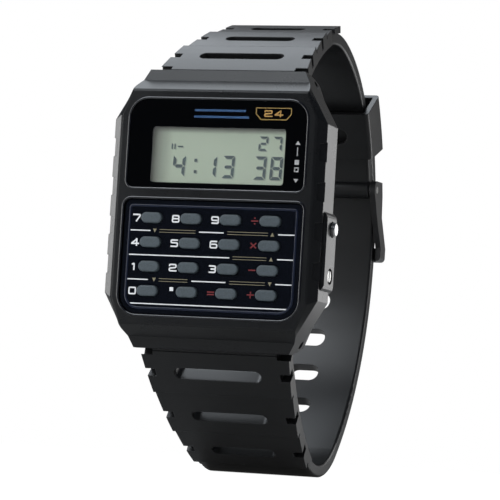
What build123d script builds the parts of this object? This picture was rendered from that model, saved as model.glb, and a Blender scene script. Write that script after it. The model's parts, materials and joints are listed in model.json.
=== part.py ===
from build123d import *
import os
from math import atan2, cos, degrees, hypot, radians, sin

# A calculator watch with its resin strap fastened in a loop, in millimetres.
# +X points to 3 o'clock, +Z to 12 o'clock, and the dial faces -Y.
# The origin is the centre of the case back's outer face, so a height is a distance from it towards the dial.

os.makedirs("parts", exist_ok=True)

# Case, outside
case_length = 43.2
case_width = 34.4
case_thickness = 8.2
wall_foot_height = 1.8
wall_top_height = 7.0
back_rim_height = 0.25
back_inset = 1.2
shoulder_length = 8.2
neck_length = 1.7
neck_inset = 3.7
end_inset = 4.6
bezel_inset = 1.45
bezel_shoulder_cut = 0.8
slope_length = 3.5
slope_foot_height = 5.55
end_height = 5.2
hood_thickness = 1.35
ear_knee_height = 1.6
ear_knee_inset = 0.65
ear_foot_inset = 1.4
face_edge_chamfer = 0.2
overrun = 5.0

# Notches along both flanks, and the boss that guards the pushers
notch_count = 4
notch_pitch = 6.03
notch_middle_z = 0.06
notch_width = 2.4
notch_flare = 0.25
notch_reach = 1.1
notch_depth = 0.35
boss_length = 12.4
boss_middle_z = -5.8
boss_low_height = 0.9
boss_high_height = 6.2
boss_proud = 0.5
boss_end_slope = 0.8
boss_edge_chamfer = 0.25
boss_root = 1.0

# Display window and keypad window in the front
glass_side_margin = 2.75
window_end_margin = 4.8
window_bar_width = 1.42
glass_low_corner = 1.3
glass_high_corner = 3.0
keypad_side_margin = 2.55
keypad_high_z = 1.33
keypad_low_corner = 3.2
keypad_high_corner = 1.3
ledge_height = 6.95
ledge_width = 1.1
ledge_foot_height = 5.9
lcd_ledge_width = 0.25
panel_fit = 0.06
glass_thickness = 1.0
glass_bevel_width = 0.35
glass_bevel_depth = 0.2
mask_thickness = 0.1
panel_thickness = 0.95
panel_bevel_width = 0.65
panel_bevel_depth = 0.28
view_side_margin = 3.7
view_low_margin = 1.1
view_high_margin = 4.35
view_corner = 0.5

# Keys
key_left_margin = 4.83
key_right_margin = 5.33
key_top_margin = 3.05
key_bottom_margin = 3.83
key_length = 3.4
key_width = 1.65
key_crown = 0.25
key_proud = 0.5
key_gap = 0.1
key_flange_margin = 0.5
key_flange_thickness = 0.4
key_seat_gap = 0.05
key_stem_radius = 0.65
key_stem_length = 1.0
dome_radius = 1.0
dome_height = 0.25
dome_taper = 30.0
membrane_thickness = 0.25
membrane_margin = 0.18

# Cavity, circuit and module
front_wall_height = 6.35
case_side_wall = 3.2
case_end_wall = 6.3
screw_side_inset = 1.4
screw_end_inset = 0.9
screw_post_size = 1.4
module_gap = 0.2
board_height = 3.9
board_thickness = 0.7
lcd_side_lap = 0.35
lcd_low_lap = 0.65
lcd_high_lap = 0.75
lcd_thickness = 1.2
lcd_rear_thickness = 0.6
zebra_thickness = 0.5
zebra_width = 1.0
zebra_inset = 0.4
tray_height = 1.3
tray_top_gap = 0.05
battery_radius = 10.0
battery_thickness = 1.6
battery_side_wall = 1.5
battery_end_wall = 0.7
battery_fit = 0.1
battery_lift = 0.02
battery_can_step = 0.6
battery_can_drop = 0.25
battery_ledge = 0.5
battery_clip_thickness = 0.2
battery_clip_width = 5.0
battery_clip_end_gap = 0.3
battery_clip_overhang = 1.2
battery_clip_slot_length = 9.0
battery_clip_slot_width = 1.4
battery_spring_length = 7.0
battery_spring_width = 1.6
bay_side_wall = 1.6
bay_battery_wall = 1.5
bay_end_wall = 0.9
bay_corner = 1.0
driver_chip_length = 7.0
driver_chip_width = 5.6
driver_chip_thickness = 0.9
driver_chip_inset = 8.0
crystal_radius = 0.75
crystal_length = 5.4
crystal_inset = 3.4
coil_radius = 1.7
coil_length = 1.9
coil_core_radius = 1.0
coil_side_inset = 2.5
coil_end_inset = 2.2
capacitor_length = 1.2
capacitor_width = 0.7
capacitor_thickness = 0.5
capacitor_count = 3
capacitor_pitch = 1.8
capacitor_side_inset = 12.4
capacitor_end_inset = 1.7
piezo_radius = 5.2
piezo_thickness = 0.2
piezo_side_inset = 7.2
piezo_end_inset = 2.1
piezo_element_radius = 3.6
piezo_element_thickness = 0.08
sounder_spring_width = 1.2
sounder_spring_reach = 2.2
sounder_spring_offset = 0.6
leaf_thickness = 0.15
leaf_width = 2.0
leaf_depth = 1.6
leaf_foot_length = 1.2
leaf_press_gap = 0.05
leaf_bay_gap = 0.4

# Case back, gasket and screws
back_thickness = 0.8
back_side_lap = 1.0
back_end_lap = 1.3
back_corner_width = 2.26
back_corner_length = 2.8
back_fit = 0.1
back_edge_chamfer = 0.2
gasket_inner_offset = 0.2
gasket_outer_offset = 0.7
gasket_depth = 0.4
screw_radius = 0.45
screw_hole_radius = 0.5
screw_hole_depth = 3.6
screw_head_radius = 0.9
screw_head_depth = 0.5
screw_length = 3.2
screw_slot_width = 0.25
screw_slot_depth = 0.25

# Pushers on the 3 o'clock side
mode_pusher_rise = 3.55
adjust_pusher_drop = 3.6
pusher_height = 3.1
pusher_head_radius = 1.1
pusher_pocket_gap = 0.12
pusher_stem_radius = 0.5
pusher_bore_gap = 0.05
pusher_pocket_depth = 1.35
mode_pusher_proud = 0.6
adjust_pusher_proud = -0.1
mode_pusher_travel = 0.6
adjust_pusher_travel = 0.4
pusher_floor_gap = 0.1
pusher_edge_chamfer = 0.2
pusher_tip_reach = 0.75
pusher_clip_radius = 0.85
pusher_clip_thickness = 0.25
pusher_clip_gap = 0.1
pusher_groove_depth = 0.15
pusher_clip_mouth = 0.6
clip_bay_gap = 0.25
adjust_slot_width = 0.4
adjust_slot_depth = 0.35
seal_outer_radius = 0.95
seal_width = 0.5
seal_gap = 0.03
seal_inset = 0.9

# Spring bars and the strap's path, seen from 3 o'clock
bar_height = 2.05
bar_inset = 1.6
bar_radius = 0.7
bar_bore_gap = 0.05
bar_tip_radius = 0.5
bar_tip_gap = 0.08
bar_tip_reach = 1.6
bar_collar_length = 0.5
bar_collar_drop = 0.12
ear_width = 2.2
channel_depth = 3.45
strap_side_gap = 0.3
bar_end_gap = 0.15
eye_radius = 1.55
strap_thickness = 2.0
lead_reach_12 = 1.88
lead_reach_6 = 1.9
lead_drop_12 = 0.65
lead_drop_6 = 0.2
lead_heading_12 = 33.1
lead_heading_6 = -50.4
front_radius_12 = 76.0
front_turn_12 = 17.0
top_radius = 16.0
top_turn = 32.25
front_radius_6 = 60.0
front_turn_6 = 27.6
bottom_radius = 13.3
bottom_turn = 63.8
joining_radius = 26.75
lap_length = 7.6
tip_corner = 4.0
strap_gap = 0.3

# Strap blocks, slots and holes
strap_shoulder_width = 1.7
strap_half_width = 9.3
ear_clearance = 0.35
corner_notch_reach = 0.9
corner_notch_height = 2.0
block_count = 3
block_pitch = 9.3
block_first_end_12 = 8.8
block_first_end_6 = 7.9
block_low_rise = 0.15
block_high_rise = 0.75
block_root = 0.4
slot_width = 2.1
slot_side_margin = 4.6
slot_setback = 3.95
side_pocket_depth = 1.5
side_pocket_width = 1.4
side_pocket_floor = 1.2
block_groove_width = 0.45
block_groove_depth = 0.3
strap_edge_fillet = 0.35
hole_length = 5.4
hole_width = 3.0
hole_pitch = 6.92
holes_before = 6
holes_after = 2

# Buckle and keeper on the rear arc; reaches are measured along it from the buckle's pivot
tail_reach = 15.0
buckle_eye_radius = 1.5
buckle_bar_radius = 0.6
buckle_bar_gap = 0.05
prong_hole_reach = 6.5
prong_thickness = 0.9
prong_width = 1.9
prong_ring_radius = 1.25
prong_inner_gap = 0.5
prong_lean = 60.0
prong_slot_width = 2.6
prong_slot_reach = 2.3
prong_tip_reach = 0.6
prong_rest_gap = 0.1
crossbar_reach = 11.7
crossbar_width = 2.3
crossbar_thickness = 1.6
rail_gap = 0.35
rail_width = 0.95
rail_heel_rise = 3.2
rail_waist_rise = 2.9
rail_depth = 2.9
crossbar_corner = 0.7
keeper_reach = 11.1
keeper_length = 9.3
keeper_wall = 0.9
keeper_inner_drop = 1.2
keeper_edge_fillet = 0.7
keeper_window_length = 13.0
keeper_window_width = 2.8

# Places worked out from the sizes
flank_x = case_width / 2
end_z = case_length / 2
bar_z = end_z - bar_inset
channel_root_z = end_z - channel_depth
hood_height = end_height - hood_thickness
boss_x = flank_x + boss_proud
glass_half_width = flank_x - glass_side_margin
glass_low_z = keypad_high_z + window_bar_width
glass_high_z = end_z - window_end_margin
keypad_half_width = flank_x - keypad_side_margin
keypad_low_z = window_end_margin - end_z
view_half_width = glass_half_width - view_side_margin
view_low_z = glass_low_z + view_low_margin
view_high_z = glass_high_z - view_high_margin
lcd_half_width = view_half_width + lcd_side_lap
lcd_low_z = view_low_z - lcd_low_lap
lcd_high_z = view_high_z + lcd_high_lap
cavity_half_width = flank_x - case_side_wall
cavity_half_length = end_z - case_end_wall
screw_x = cavity_half_width - screw_side_inset
screw_z = cavity_half_length - screw_end_inset
back_half_width = cavity_half_width + back_side_lap
back_half_length = cavity_half_length + back_end_lap
back_corner_x = back_half_width - back_corner_width
back_corner_z = back_half_length - back_corner_length
board_top = board_height + board_thickness
lcd_height = board_top + zebra_thickness
glass_height = ledge_height + mask_thickness
panel_top = ledge_height + panel_thickness
key_flange_top = ledge_height - key_seat_gap
key_top = panel_top + key_proud
tray_top = board_height - tray_top_gap
battery_x = battery_radius + battery_side_wall - cavity_half_width
battery_z = battery_radius + battery_end_wall - cavity_half_length
bay_half_width = cavity_half_width - bay_side_wall
bay_low_z = battery_z + battery_radius + bay_battery_wall
bay_high_z = cavity_half_length - bay_end_wall
bay_middle_z = (bay_low_z + bay_high_z) / 2
driver_chip_x = driver_chip_inset - bay_half_width
crystal_x = crystal_inset - bay_half_width
coil_x = bay_half_width - coil_side_inset
coil_z = bay_low_z + coil_end_inset
capacitor_x = capacitor_side_inset - bay_half_width
piezo_x = bay_half_width - piezo_side_inset
piezo_z = bay_low_z + piezo_end_inset
battery_height = tray_height + battery_lift
battery_top = battery_height + battery_thickness
mode_pusher_z = boss_middle_z + mode_pusher_rise
adjust_pusher_z = boss_middle_z - adjust_pusher_drop
pusher_floor_x = boss_x - pusher_pocket_depth
pusher_tip_x = cavity_half_width - pusher_tip_reach
leaf_face_x = pusher_tip_x - mode_pusher_travel - leaf_press_gap
channel_half_width = flank_x - end_inset - ear_width
strap_front_half_width = channel_half_width + strap_shoulder_width
key_names = [
    ["key_7", "key_8", "key_9", "key_divide"],
    ["key_4", "key_5", "key_6", "key_times"],
    ["key_1", "key_2", "key_3", "key_minus"],
    ["key_0", "key_point", "key_equals", "key_plus"],
]
first_key_x = key_left_margin - keypad_half_width
last_key_x = keypad_half_width - key_right_margin
first_key_z = keypad_high_z - key_top_margin
last_key_z = keypad_low_z + key_bottom_margin
key_pitch_x = (last_key_x - first_key_x) / (len(key_names[0]) - 1)
key_pitch_z = (first_key_z - last_key_z) / (len(key_names) - 1)
key_places = {
    name: (first_key_x + column * key_pitch_x, first_key_z - row * key_pitch_z)
    for row, names in enumerate(key_names)
    for column, name in enumerate(names)
}
screw_places = [(across * screw_x, along * screw_z) for across in (-1, 1) for along in (-1, 1)]
pusher_rows = (mode_pusher_z, adjust_pusher_z)


def dial(height):
    """Plane parallel to the dial: local x is 3 o'clock, local y is 12 o'clock, and it faces the front."""
    return Plane(origin=(0, -height, 0), x_dir=(1, 0, 0), z_dir=(0, -1, 0))


def cross(x, y, z):
    """Plane square to the 3 o'clock direction, facing it, at a point."""
    return Plane(origin=(x, y, z), x_dir=(0, 1, 0), z_dir=(1, 0, 0))


def save(builder, name):
    """Label a finished piece and write its STEP file."""
    builder.part.label = name
    export_step(builder.part, f"parts/{name}.step")


def outline(plane, points):
    """A face with straight edges through points of a plane."""
    with BuildSketch(plane) as shape:
        with BuildLine():
            Polyline(*points, close=True)
        make_face()
    return shape.sketch


def window(height, half_width, low_z, high_z, low_corner, high_corner, shrink=0.0):
    """A panel outline with its own corner radii below and above, drawn in by an amount all round."""
    left, right = shrink - half_width, half_width - shrink
    low, high = low_z + shrink, high_z - shrink
    corners = [(left, low), (right, low), (right, high), (left, high)]
    low_radius, high_radius = low_corner - shrink, high_corner - shrink
    radii = [low_radius, low_radius, high_radius, high_radius]
    with BuildSketch(dial(height)) as shape:
        with BuildLine():
            FilletPolyline(*corners, radius=radii, close=True)
        make_face()
    return shape.sketch


def glass_window(height, shrink=0.0):
    """The display window's outline."""
    sizes = (glass_half_width, glass_low_z, glass_high_z, glass_low_corner, glass_high_corner)
    return window(height, *sizes, shrink)


def keypad_window(height, shrink=0.0):
    """The keypad window's outline."""
    sizes = (keypad_half_width, keypad_low_z, keypad_high_z, keypad_low_corner, keypad_high_corner)
    return window(height, *sizes, shrink)


def rectangle(height, low_x, high_x, low_z, high_z):
    """A rectangle on a dial plane."""
    return outline(dial(height), [(low_x, low_z), (high_x, low_z), (high_x, high_z), (low_x, high_z)])


def disc(height, x, z, radius):
    """A circle on a dial plane."""
    with BuildSketch(dial(height)) as shape:
        with Locations((x, z)):
            Circle(radius)
    return shape.sketch


def stadium(height, x, z, length, width):
    """A slot shape on a dial plane, long in the 3 o'clock direction."""
    with BuildSketch(dial(height)) as shape:
        with Locations((x, z)):
            SlotOverall(length, width)
    return shape.sketch


def four_corners(corner):
    """Close an outline from the points of its upper right corner, listed from the flank to the end."""
    left = [(-x, z) for x, z in reversed(corner)]
    return corner + left + [(-x, -z) for x, z in corner] + [(x, -z) for x, z in reversed(corner)]


def plan_outline(height, inset, shoulder_cut=0.0):
    """The case seen from the front, with its flank drawn in by an amount."""
    corner = [
        (flank_x - inset, end_z - shoulder_length + shoulder_cut),
        (flank_x - neck_inset, end_z - neck_length),
        (flank_x - end_inset, end_z),
    ]
    return outline(dial(height), four_corners(corner))


def cavity_outline(height, grow=0.0):
    """The cavity: a rectangle whose corners give way to the screws."""
    side_x, side_z = cavity_half_width + grow, cavity_half_length + grow
    step_x, step_z = screw_x - screw_post_size + grow, screw_z - screw_post_size + grow
    return outline(dial(height), four_corners([(side_x, step_z), (step_x, step_z), (step_x, side_z)]))


def gasket_ring():
    """The gasket, which follows the cavity outside its edge."""
    inner = cavity_outline(back_thickness, gasket_inner_offset)
    return cavity_outline(back_thickness, gasket_outer_offset) - inner


def back_outline(height, grow=0.0):
    """The case back, a rectangle with cut corners."""
    corner = [(back_half_width + grow, back_corner_z + grow), (back_corner_x + grow, back_half_length + grow)]
    return outline(dial(height), four_corners(corner))


def end_profile(end):
    """The hood, ear and slope at one end of the case, seen from 3 o'clock; end is 1 at 12 o'clock."""
    return [
        (-case_thickness, end * (end_z - slope_length)),
        (-slope_foot_height, end * (end_z - neck_length)),
        (-end_height, end * end_z),
        (-hood_height, end * end_z),
        (-ear_knee_height, end * (end_z - ear_knee_inset)),
        (-back_rim_height, end * (end_z - ear_foot_inset)),
    ]


# Case body
bezel_rise = case_thickness - wall_top_height
side_profile = outline(Plane.YZ, end_profile(1) + list(reversed(end_profile(-1))))

with BuildPart() as case_body:
    extrude(plan_outline(wall_foot_height, 0), amount=wall_top_height - wall_foot_height)
    loft([plan_outline(back_rim_height, back_inset), plan_outline(wall_foot_height, 0)], ruled=True)
    loft(
        [plan_outline(wall_top_height, 0), plan_outline(case_thickness, bezel_inset, bezel_shoulder_cut)],
        ruled=True,
    )
    extrude(side_profile, amount=flank_x + overrun, both=True, mode=Mode.INTERSECT)
    # Guard boss round the pushers
    boss_points = [
        (flank_x - boss_root, boss_middle_z - boss_length / 2 - boss_root),
        (boss_x, boss_middle_z - boss_length / 2 + boss_end_slope),
        (boss_x, boss_middle_z + boss_length / 2 - boss_end_slope),
        (flank_x - boss_root, boss_middle_z + boss_length / 2 + boss_root),
    ]
    extrude(outline(dial(boss_low_height), boss_points), amount=boss_high_height - boss_low_height)
    boss_face = case_body.faces().sort_by(Axis.X)[-1]
    chamfer(boss_face.edges(), boss_edge_chamfer)
    # Edge of the flat front
    chamfer(case_body.faces().sort_by(Axis.Y)[0].edges(), face_edge_chamfer)
    # Notches down both flanks, with floors that run parallel to the sloping bezel edge
    for row in range(notch_count):
        notch_z = notch_middle_z + (row - (notch_count - 1) / 2) * notch_pitch
        for hand in (-1, 1):
            notch_plane = Plane(
                origin=(hand * flank_x, -wall_top_height, notch_z),
                x_dir=(hand * bezel_inset, bezel_rise, 0),
                z_dir=(hand * bezel_rise, -bezel_inset, 0),
            )
            notch_points = [
                (-notch_reach, -notch_width / 2),
                (notch_reach, -notch_width / 2 - 2 * notch_flare),
                (notch_reach, notch_width / 2 + 2 * notch_flare),
                (-notch_reach, notch_width / 2),
            ]
            notch = outline(notch_plane.offset(-notch_depth), notch_points)
            extrude(notch, amount=overrun, mode=Mode.SUBTRACT)
    # Windows, their ledges and the openings behind them
    extrude(glass_window(ledge_height), amount=case_thickness, mode=Mode.SUBTRACT)
    extrude(keypad_window(ledge_height), amount=case_thickness, mode=Mode.SUBTRACT)
    extrude(keypad_window(ledge_foot_height, ledge_width), amount=case_thickness, mode=Mode.SUBTRACT)
    lcd_opening = rectangle(
        ledge_foot_height,
        ledge_width - glass_half_width,
        glass_half_width - ledge_width,
        glass_low_z + lcd_ledge_width,
        glass_high_z - glass_high_corner,
    )
    extrude(lcd_opening, amount=case_thickness, mode=Mode.SUBTRACT)
    # Cavity, case back recess and gasket groove
    extrude(cavity_outline(0), amount=front_wall_height, mode=Mode.SUBTRACT)
    extrude(back_outline(0, back_fit), amount=back_thickness, mode=Mode.SUBTRACT)
    extrude(gasket_ring(), amount=gasket_depth, mode=Mode.SUBTRACT)
    for x, z in screw_places:
        extrude(disc(0, x, z, screw_hole_radius), amount=screw_hole_depth, mode=Mode.SUBTRACT)
    # Channels for the strap ends, with the spring bar holes through the ears
    for end in (-1, 1):
        channel = rectangle(
            -overrun,
            -channel_half_width,
            channel_half_width,
            min(end * channel_root_z, end * (end_z + overrun)),
            max(end * channel_root_z, end * (end_z + overrun)),
        )
        extrude(channel, amount=overrun + hood_height, mode=Mode.SUBTRACT)
        with BuildSketch(cross(0, -bar_height, end * bar_z)) as ear_hole:
            Circle(bar_tip_radius + bar_tip_gap)
        extrude(ear_hole.sketch, amount=flank_x, both=True, mode=Mode.SUBTRACT)
    # Pusher pockets, bores and seal grooves
    for z in pusher_rows:
        with BuildSketch(cross(pusher_floor_x, -pusher_height, z)) as pocket:
            Circle(pusher_head_radius + pusher_pocket_gap)
        extrude(pocket.sketch, amount=pusher_pocket_depth + overrun, mode=Mode.SUBTRACT)
        with BuildSketch(cross(cavity_half_width - overrun, -pusher_height, z)) as bore:
            Circle(pusher_stem_radius + pusher_bore_gap)
        extrude(bore.sketch, amount=flank_x - cavity_half_width + overrun, mode=Mode.SUBTRACT)
        with BuildSketch(cross(cavity_half_width + seal_inset, -pusher_height, z)) as groove:
            Circle(seal_outer_radius)
        extrude(groove.sketch, amount=seal_width, mode=Mode.SUBTRACT)
save(case_body, "case_body")

# Display glass, its printed surround, and the keypad panel
with BuildPart() as display_glass:
    extrude(glass_window(glass_height, panel_fit), amount=glass_thickness)
    chamfer(
        display_glass.faces().sort_by(Axis.Y)[0].edges(),
        length=glass_bevel_depth,
        length2=glass_bevel_width,
        reference=display_glass.faces().sort_by(Axis.Y)[0],
    )
save(display_glass, "display_glass")

with BuildPart() as display_mask:
    extrude(glass_window(ledge_height, panel_fit), amount=mask_thickness)
    extrude(
        window(ledge_height, view_half_width, view_low_z, view_high_z, view_corner, view_corner),
        amount=mask_thickness,
        mode=Mode.SUBTRACT,
    )
save(display_mask, "display_mask")

with BuildPart() as keypad_panel:
    extrude(keypad_window(ledge_height, panel_fit), amount=panel_thickness)
    chamfer(
        keypad_panel.faces().sort_by(Axis.Y)[0].edges(),
        length=panel_bevel_depth,
        length2=panel_bevel_width,
        reference=keypad_panel.faces().sort_by(Axis.Y)[0],
    )
    for x, z in key_places.values():
        opening = stadium(ledge_height, x, z, key_length + 2 * key_gap, key_width + 2 * key_gap)
        extrude(opening, amount=panel_thickness, mode=Mode.SUBTRACT)
save(keypad_panel, "keypad_panel")

# Keys, each with a cap, a flange that stops under the panel and a stem above its dome
key_flange_foot = key_flange_top - key_flange_thickness
for name, (x, z) in key_places.items():
    with BuildPart() as key:
        extrude(stadium(key_flange_top, x, z, key_length, key_width), amount=key_top - key_flange_top)
        fillet(key.faces().sort_by(Axis.Y)[0].edges(), key_crown)
        flange_length = key_length + 2 * key_flange_margin
        flange_width = key_width + 2 * key_flange_margin
        extrude(stadium(key_flange_foot, x, z, flange_length, flange_width), amount=key_flange_thickness)
        extrude(disc(key_flange_foot - key_stem_length, x, z, key_stem_radius), amount=key_stem_length)
    save(key, name)

with BuildPart() as keypad_membrane:
    sheet_margin = dome_radius + membrane_margin
    sheet = rectangle(
        board_top,
        first_key_x - sheet_margin,
        last_key_x + sheet_margin,
        last_key_z - sheet_margin,
        first_key_z + sheet_margin,
    )
    extrude(sheet, amount=membrane_thickness)
    for x, z in key_places.values():
        extrude(
            disc(board_top + membrane_thickness, x, z, dome_radius),
            amount=dome_height,
            taper=dome_taper,
        )
save(keypad_membrane, "keypad_membrane")

# Display: two plates of glass, the front one shorter so that the rear one carries the contacts
with BuildPart() as lcd_panel:
    extrude(
        rectangle(lcd_height, -lcd_half_width, lcd_half_width, lcd_low_z, lcd_high_z),
        amount=lcd_rear_thickness,
    )
    extrude(
        rectangle(
            lcd_height + lcd_rear_thickness,
            -lcd_half_width,
            lcd_half_width,
            lcd_low_z,
            lcd_high_z - zebra_inset,
        ),
        amount=lcd_thickness - lcd_rear_thickness,
    )
save(lcd_panel, "lcd_panel")

with BuildPart() as lcd_connectors:
    for low_z in (lcd_low_z + zebra_inset, lcd_high_z - zebra_inset - zebra_width):
        strip = rectangle(
            board_top,
            zebra_inset - lcd_half_width,
            lcd_half_width - zebra_inset,
            low_z,
            low_z + zebra_width,
        )
        extrude(strip, amount=zebra_thickness)
save(lcd_connectors, "lcd_connectors")

# Circuit board and what is soldered under it
clip_bay_x = pusher_tip_x - mode_pusher_travel
with BuildPart() as circuit_board:
    extrude(cavity_outline(board_height, -module_gap), amount=board_thickness)
    for z in pusher_rows:
        bay = rectangle(
            board_height,
            clip_bay_x,
            cavity_half_width + overrun,
            z - pusher_clip_radius - clip_bay_gap,
            z + pusher_clip_radius + clip_bay_gap,
        )
        extrude(bay, amount=board_thickness, mode=Mode.SUBTRACT)
save(circuit_board, "circuit_board")

with BuildPart() as driver_chip:
    chip = rectangle(
        board_height - driver_chip_thickness,
        driver_chip_x - driver_chip_length / 2,
        driver_chip_x + driver_chip_length / 2,
        bay_middle_z - driver_chip_width / 2,
        bay_middle_z + driver_chip_width / 2,
    )
    extrude(chip, amount=driver_chip_thickness)
    chamfer(driver_chip.faces().sort_by(Axis.Y)[-1].edges(), driver_chip_thickness / 4)
save(driver_chip, "driver_chip")

with BuildPart() as crystal_can:
    can_plane = Plane(
        origin=(crystal_x, crystal_radius - board_height, bay_middle_z - crystal_length / 2),
        x_dir=(1, 0, 0),
        z_dir=(0, 0, 1),
    )
    with BuildSketch(can_plane) as can:
        Circle(crystal_radius)
    extrude(can.sketch, amount=crystal_length)
    fillet(crystal_can.faces().sort_by(Axis.Z)[-1].edges(), crystal_radius / 3)
save(crystal_can, "crystal_can")

with BuildPart() as sounder_coil:
    coil_foot = board_height - coil_length
    extrude(disc(coil_foot, coil_x, coil_z, coil_radius), amount=coil_length)
    extrude(
        disc(coil_foot + coil_length / 4, coil_x, coil_z, coil_radius)
        - disc(coil_foot + coil_length / 4, coil_x, coil_z, coil_core_radius),
        amount=coil_length / 2,
        mode=Mode.SUBTRACT,
    )
    extrude(
        disc(coil_foot + coil_length / 4, coil_x, coil_z, (coil_radius + coil_core_radius) / 2),
        amount=coil_length / 2,
    )
save(sounder_coil, "sounder_coil")

with BuildPart() as chip_capacitors:
    for index in range(capacitor_count):
        middle_z = bay_low_z + capacitor_end_inset + index * capacitor_pitch
        block = rectangle(
            board_height - capacitor_thickness,
            capacitor_x - capacitor_length / 2,
            capacitor_x + capacitor_length / 2,
            middle_z - capacitor_width / 2,
            middle_z + capacitor_width / 2,
        )
        extrude(block, amount=capacitor_thickness)
save(chip_capacitors, "chip_capacitors")

# Module frame, with the battery pocket, the chip bay and room for the leaf contacts
with BuildPart() as module_frame:
    extrude(cavity_outline(tray_height, -module_gap), amount=tray_top - tray_height)
    extrude(
        disc(0, battery_x, battery_z, battery_radius + battery_fit),
        amount=battery_top + battery_lift,
        mode=Mode.SUBTRACT,
    )
    extrude(
        disc(0, battery_x, battery_z, battery_radius - battery_ledge),
        amount=case_thickness,
        mode=Mode.SUBTRACT,
    )
    extrude(
        window(0, bay_half_width, bay_low_z, bay_high_z, bay_corner, bay_corner)
        - outline(
            dial(0),
            [
                (screw_x - 2 * screw_post_size, screw_z - 2 * screw_post_size),
                (screw_x + overrun, screw_z - 2 * screw_post_size),
                (screw_x + overrun, screw_z + overrun),
                (screw_x - 2 * screw_post_size, screw_z + overrun),
            ],
        )
        - outline(
            dial(0),
            [
                (2 * screw_post_size - screw_x, screw_z - 2 * screw_post_size),
                (-screw_x - overrun, screw_z - 2 * screw_post_size),
                (-screw_x - overrun, screw_z + overrun),
                (2 * screw_post_size - screw_x, screw_z + overrun),
            ],
        ),
        amount=case_thickness,
        mode=Mode.SUBTRACT,
    )
    for z in pusher_rows:
        bay = rectangle(
            0,
            leaf_face_x - leaf_thickness - leaf_foot_length - leaf_bay_gap,
            cavity_half_width + overrun,
            z - leaf_width / 2 - leaf_bay_gap,
            z + leaf_width / 2 + leaf_bay_gap,
        )
        extrude(bay, amount=case_thickness, mode=Mode.SUBTRACT)
save(module_frame, "module_frame")

# Battery with its stepped can, the clip under it and the contact above it
with BuildPart() as battery:
    extrude(disc(battery_height, battery_x, battery_z, battery_radius), amount=battery_thickness)
    extrude(
        disc(battery_top - battery_can_drop, battery_x, battery_z, battery_radius + overrun)
        - disc(battery_top - battery_can_drop, battery_x, battery_z, battery_radius - battery_can_step),
        amount=battery_can_drop,
        mode=Mode.SUBTRACT,
    )
    chamfer(battery.faces().sort_by(Axis.Y)[-1].edges(), battery_can_drop / 2)
save(battery, "battery")

clip_foot_height = tray_height - battery_clip_thickness
with BuildPart() as battery_clip:
    band = rectangle(
        clip_foot_height,
        battery_x - battery_clip_width / 2,
        battery_x + battery_clip_width / 2,
        battery_clip_end_gap - cavity_half_length,
        battery_z + battery_radius + battery_clip_overhang,
    )
    extrude(band, amount=battery_clip_thickness)
    with BuildSketch(dial(clip_foot_height)) as clip_slot:
        with Locations((battery_x, battery_z)):
            SlotOverall(battery_clip_slot_length, battery_clip_slot_width, rotation=90)
    extrude(clip_slot.sketch, amount=battery_clip_thickness, mode=Mode.SUBTRACT)
save(battery_clip, "battery_clip")

with BuildPart() as battery_spring:
    spring_top = -board_height
    spring_foot = -(battery_top + battery_lift)
    spring_points = [
        (spring_top, battery_z - battery_spring_length / 2),
        (spring_top + leaf_thickness, battery_z - battery_spring_length / 2),
        (spring_top + leaf_thickness, battery_z - battery_spring_length / 4),
        (spring_foot, battery_z + battery_spring_length / 4),
        (spring_top + 2 * leaf_thickness, battery_z + battery_spring_length / 2),
        (spring_top + leaf_thickness, battery_z + battery_spring_length / 2),
        (spring_foot - leaf_thickness, battery_z + battery_spring_length / 4),
        (spring_top, battery_z - battery_spring_length / 4),
    ]
    spring_plane = Plane.YZ.offset(battery_x)
    extrude(outline(spring_plane, spring_points), amount=battery_spring_width / 2, both=True)
save(battery_spring, "battery_spring")

# Leaf contacts that the pushers press against the board
with BuildPart() as switch_springs:
    for z in pusher_rows:
        leaf_points = [
            (leaf_face_x, -board_height),
            (leaf_face_x - leaf_thickness - leaf_foot_length, -board_height),
            (leaf_face_x - leaf_thickness - leaf_foot_length, leaf_thickness - board_height),
            (leaf_face_x - leaf_thickness, leaf_thickness - board_height),
            (leaf_face_x - leaf_thickness, leaf_depth - board_height),
            (leaf_face_x, leaf_depth - board_height),
        ]
        leaf_plane = Plane.XY.offset(z)
        extrude(outline(leaf_plane, leaf_points), amount=leaf_width / 2, both=True)
save(switch_springs, "switch_springs")

# Alarm sounder on the case back, and the bent strip that feeds it
with BuildPart() as piezo_disc:
    extrude(disc(back_thickness, piezo_x, piezo_z, piezo_radius), amount=piezo_thickness)
    extrude(
        disc(back_thickness + piezo_thickness, piezo_x, piezo_z, piezo_element_radius),
        amount=piezo_element_thickness,
    )
save(piezo_disc, "piezo_disc")

piezo_top = back_thickness + piezo_thickness + piezo_element_thickness
sounder_spring_z = piezo_z - sounder_spring_offset
with BuildPart() as sounder_spring:
    bend_points = [
        (-board_height, sounder_spring_z),
        (-board_height, sounder_spring_z + sounder_spring_reach / 2),
        (leaf_thickness - board_height, sounder_spring_z + sounder_spring_reach / 2),
        (leaf_thickness - board_height, sounder_spring_z + leaf_thickness),
        (-piezo_top - leaf_thickness, sounder_spring_z + leaf_thickness),
        (-piezo_top - leaf_thickness, sounder_spring_z + sounder_spring_reach),
        (-piezo_top, sounder_spring_z + sounder_spring_reach),
        (-piezo_top, sounder_spring_z),
    ]
    strip_plane = Plane.YZ.offset(piezo_x)
    extrude(outline(strip_plane, bend_points), amount=sounder_spring_width / 2, both=True)
save(sounder_spring, "sounder_spring")

# Case back, gasket and countersunk screws
with BuildPart() as case_back:
    extrude(back_outline(0), amount=back_thickness)
    chamfer(case_back.faces().sort_by(Axis.Y)[-1].edges(), back_edge_chamfer)
    for x, z in screw_places:
        extrude(disc(0, x, z, screw_hole_radius), amount=back_thickness, mode=Mode.SUBTRACT)
        sink_radius = screw_head_radius + screw_hole_radius - screw_radius
        sink = [disc(0, x, z, sink_radius), disc(screw_head_depth, x, z, screw_hole_radius)]
        loft(sink, mode=Mode.SUBTRACT)
save(case_back, "case_back")

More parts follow.
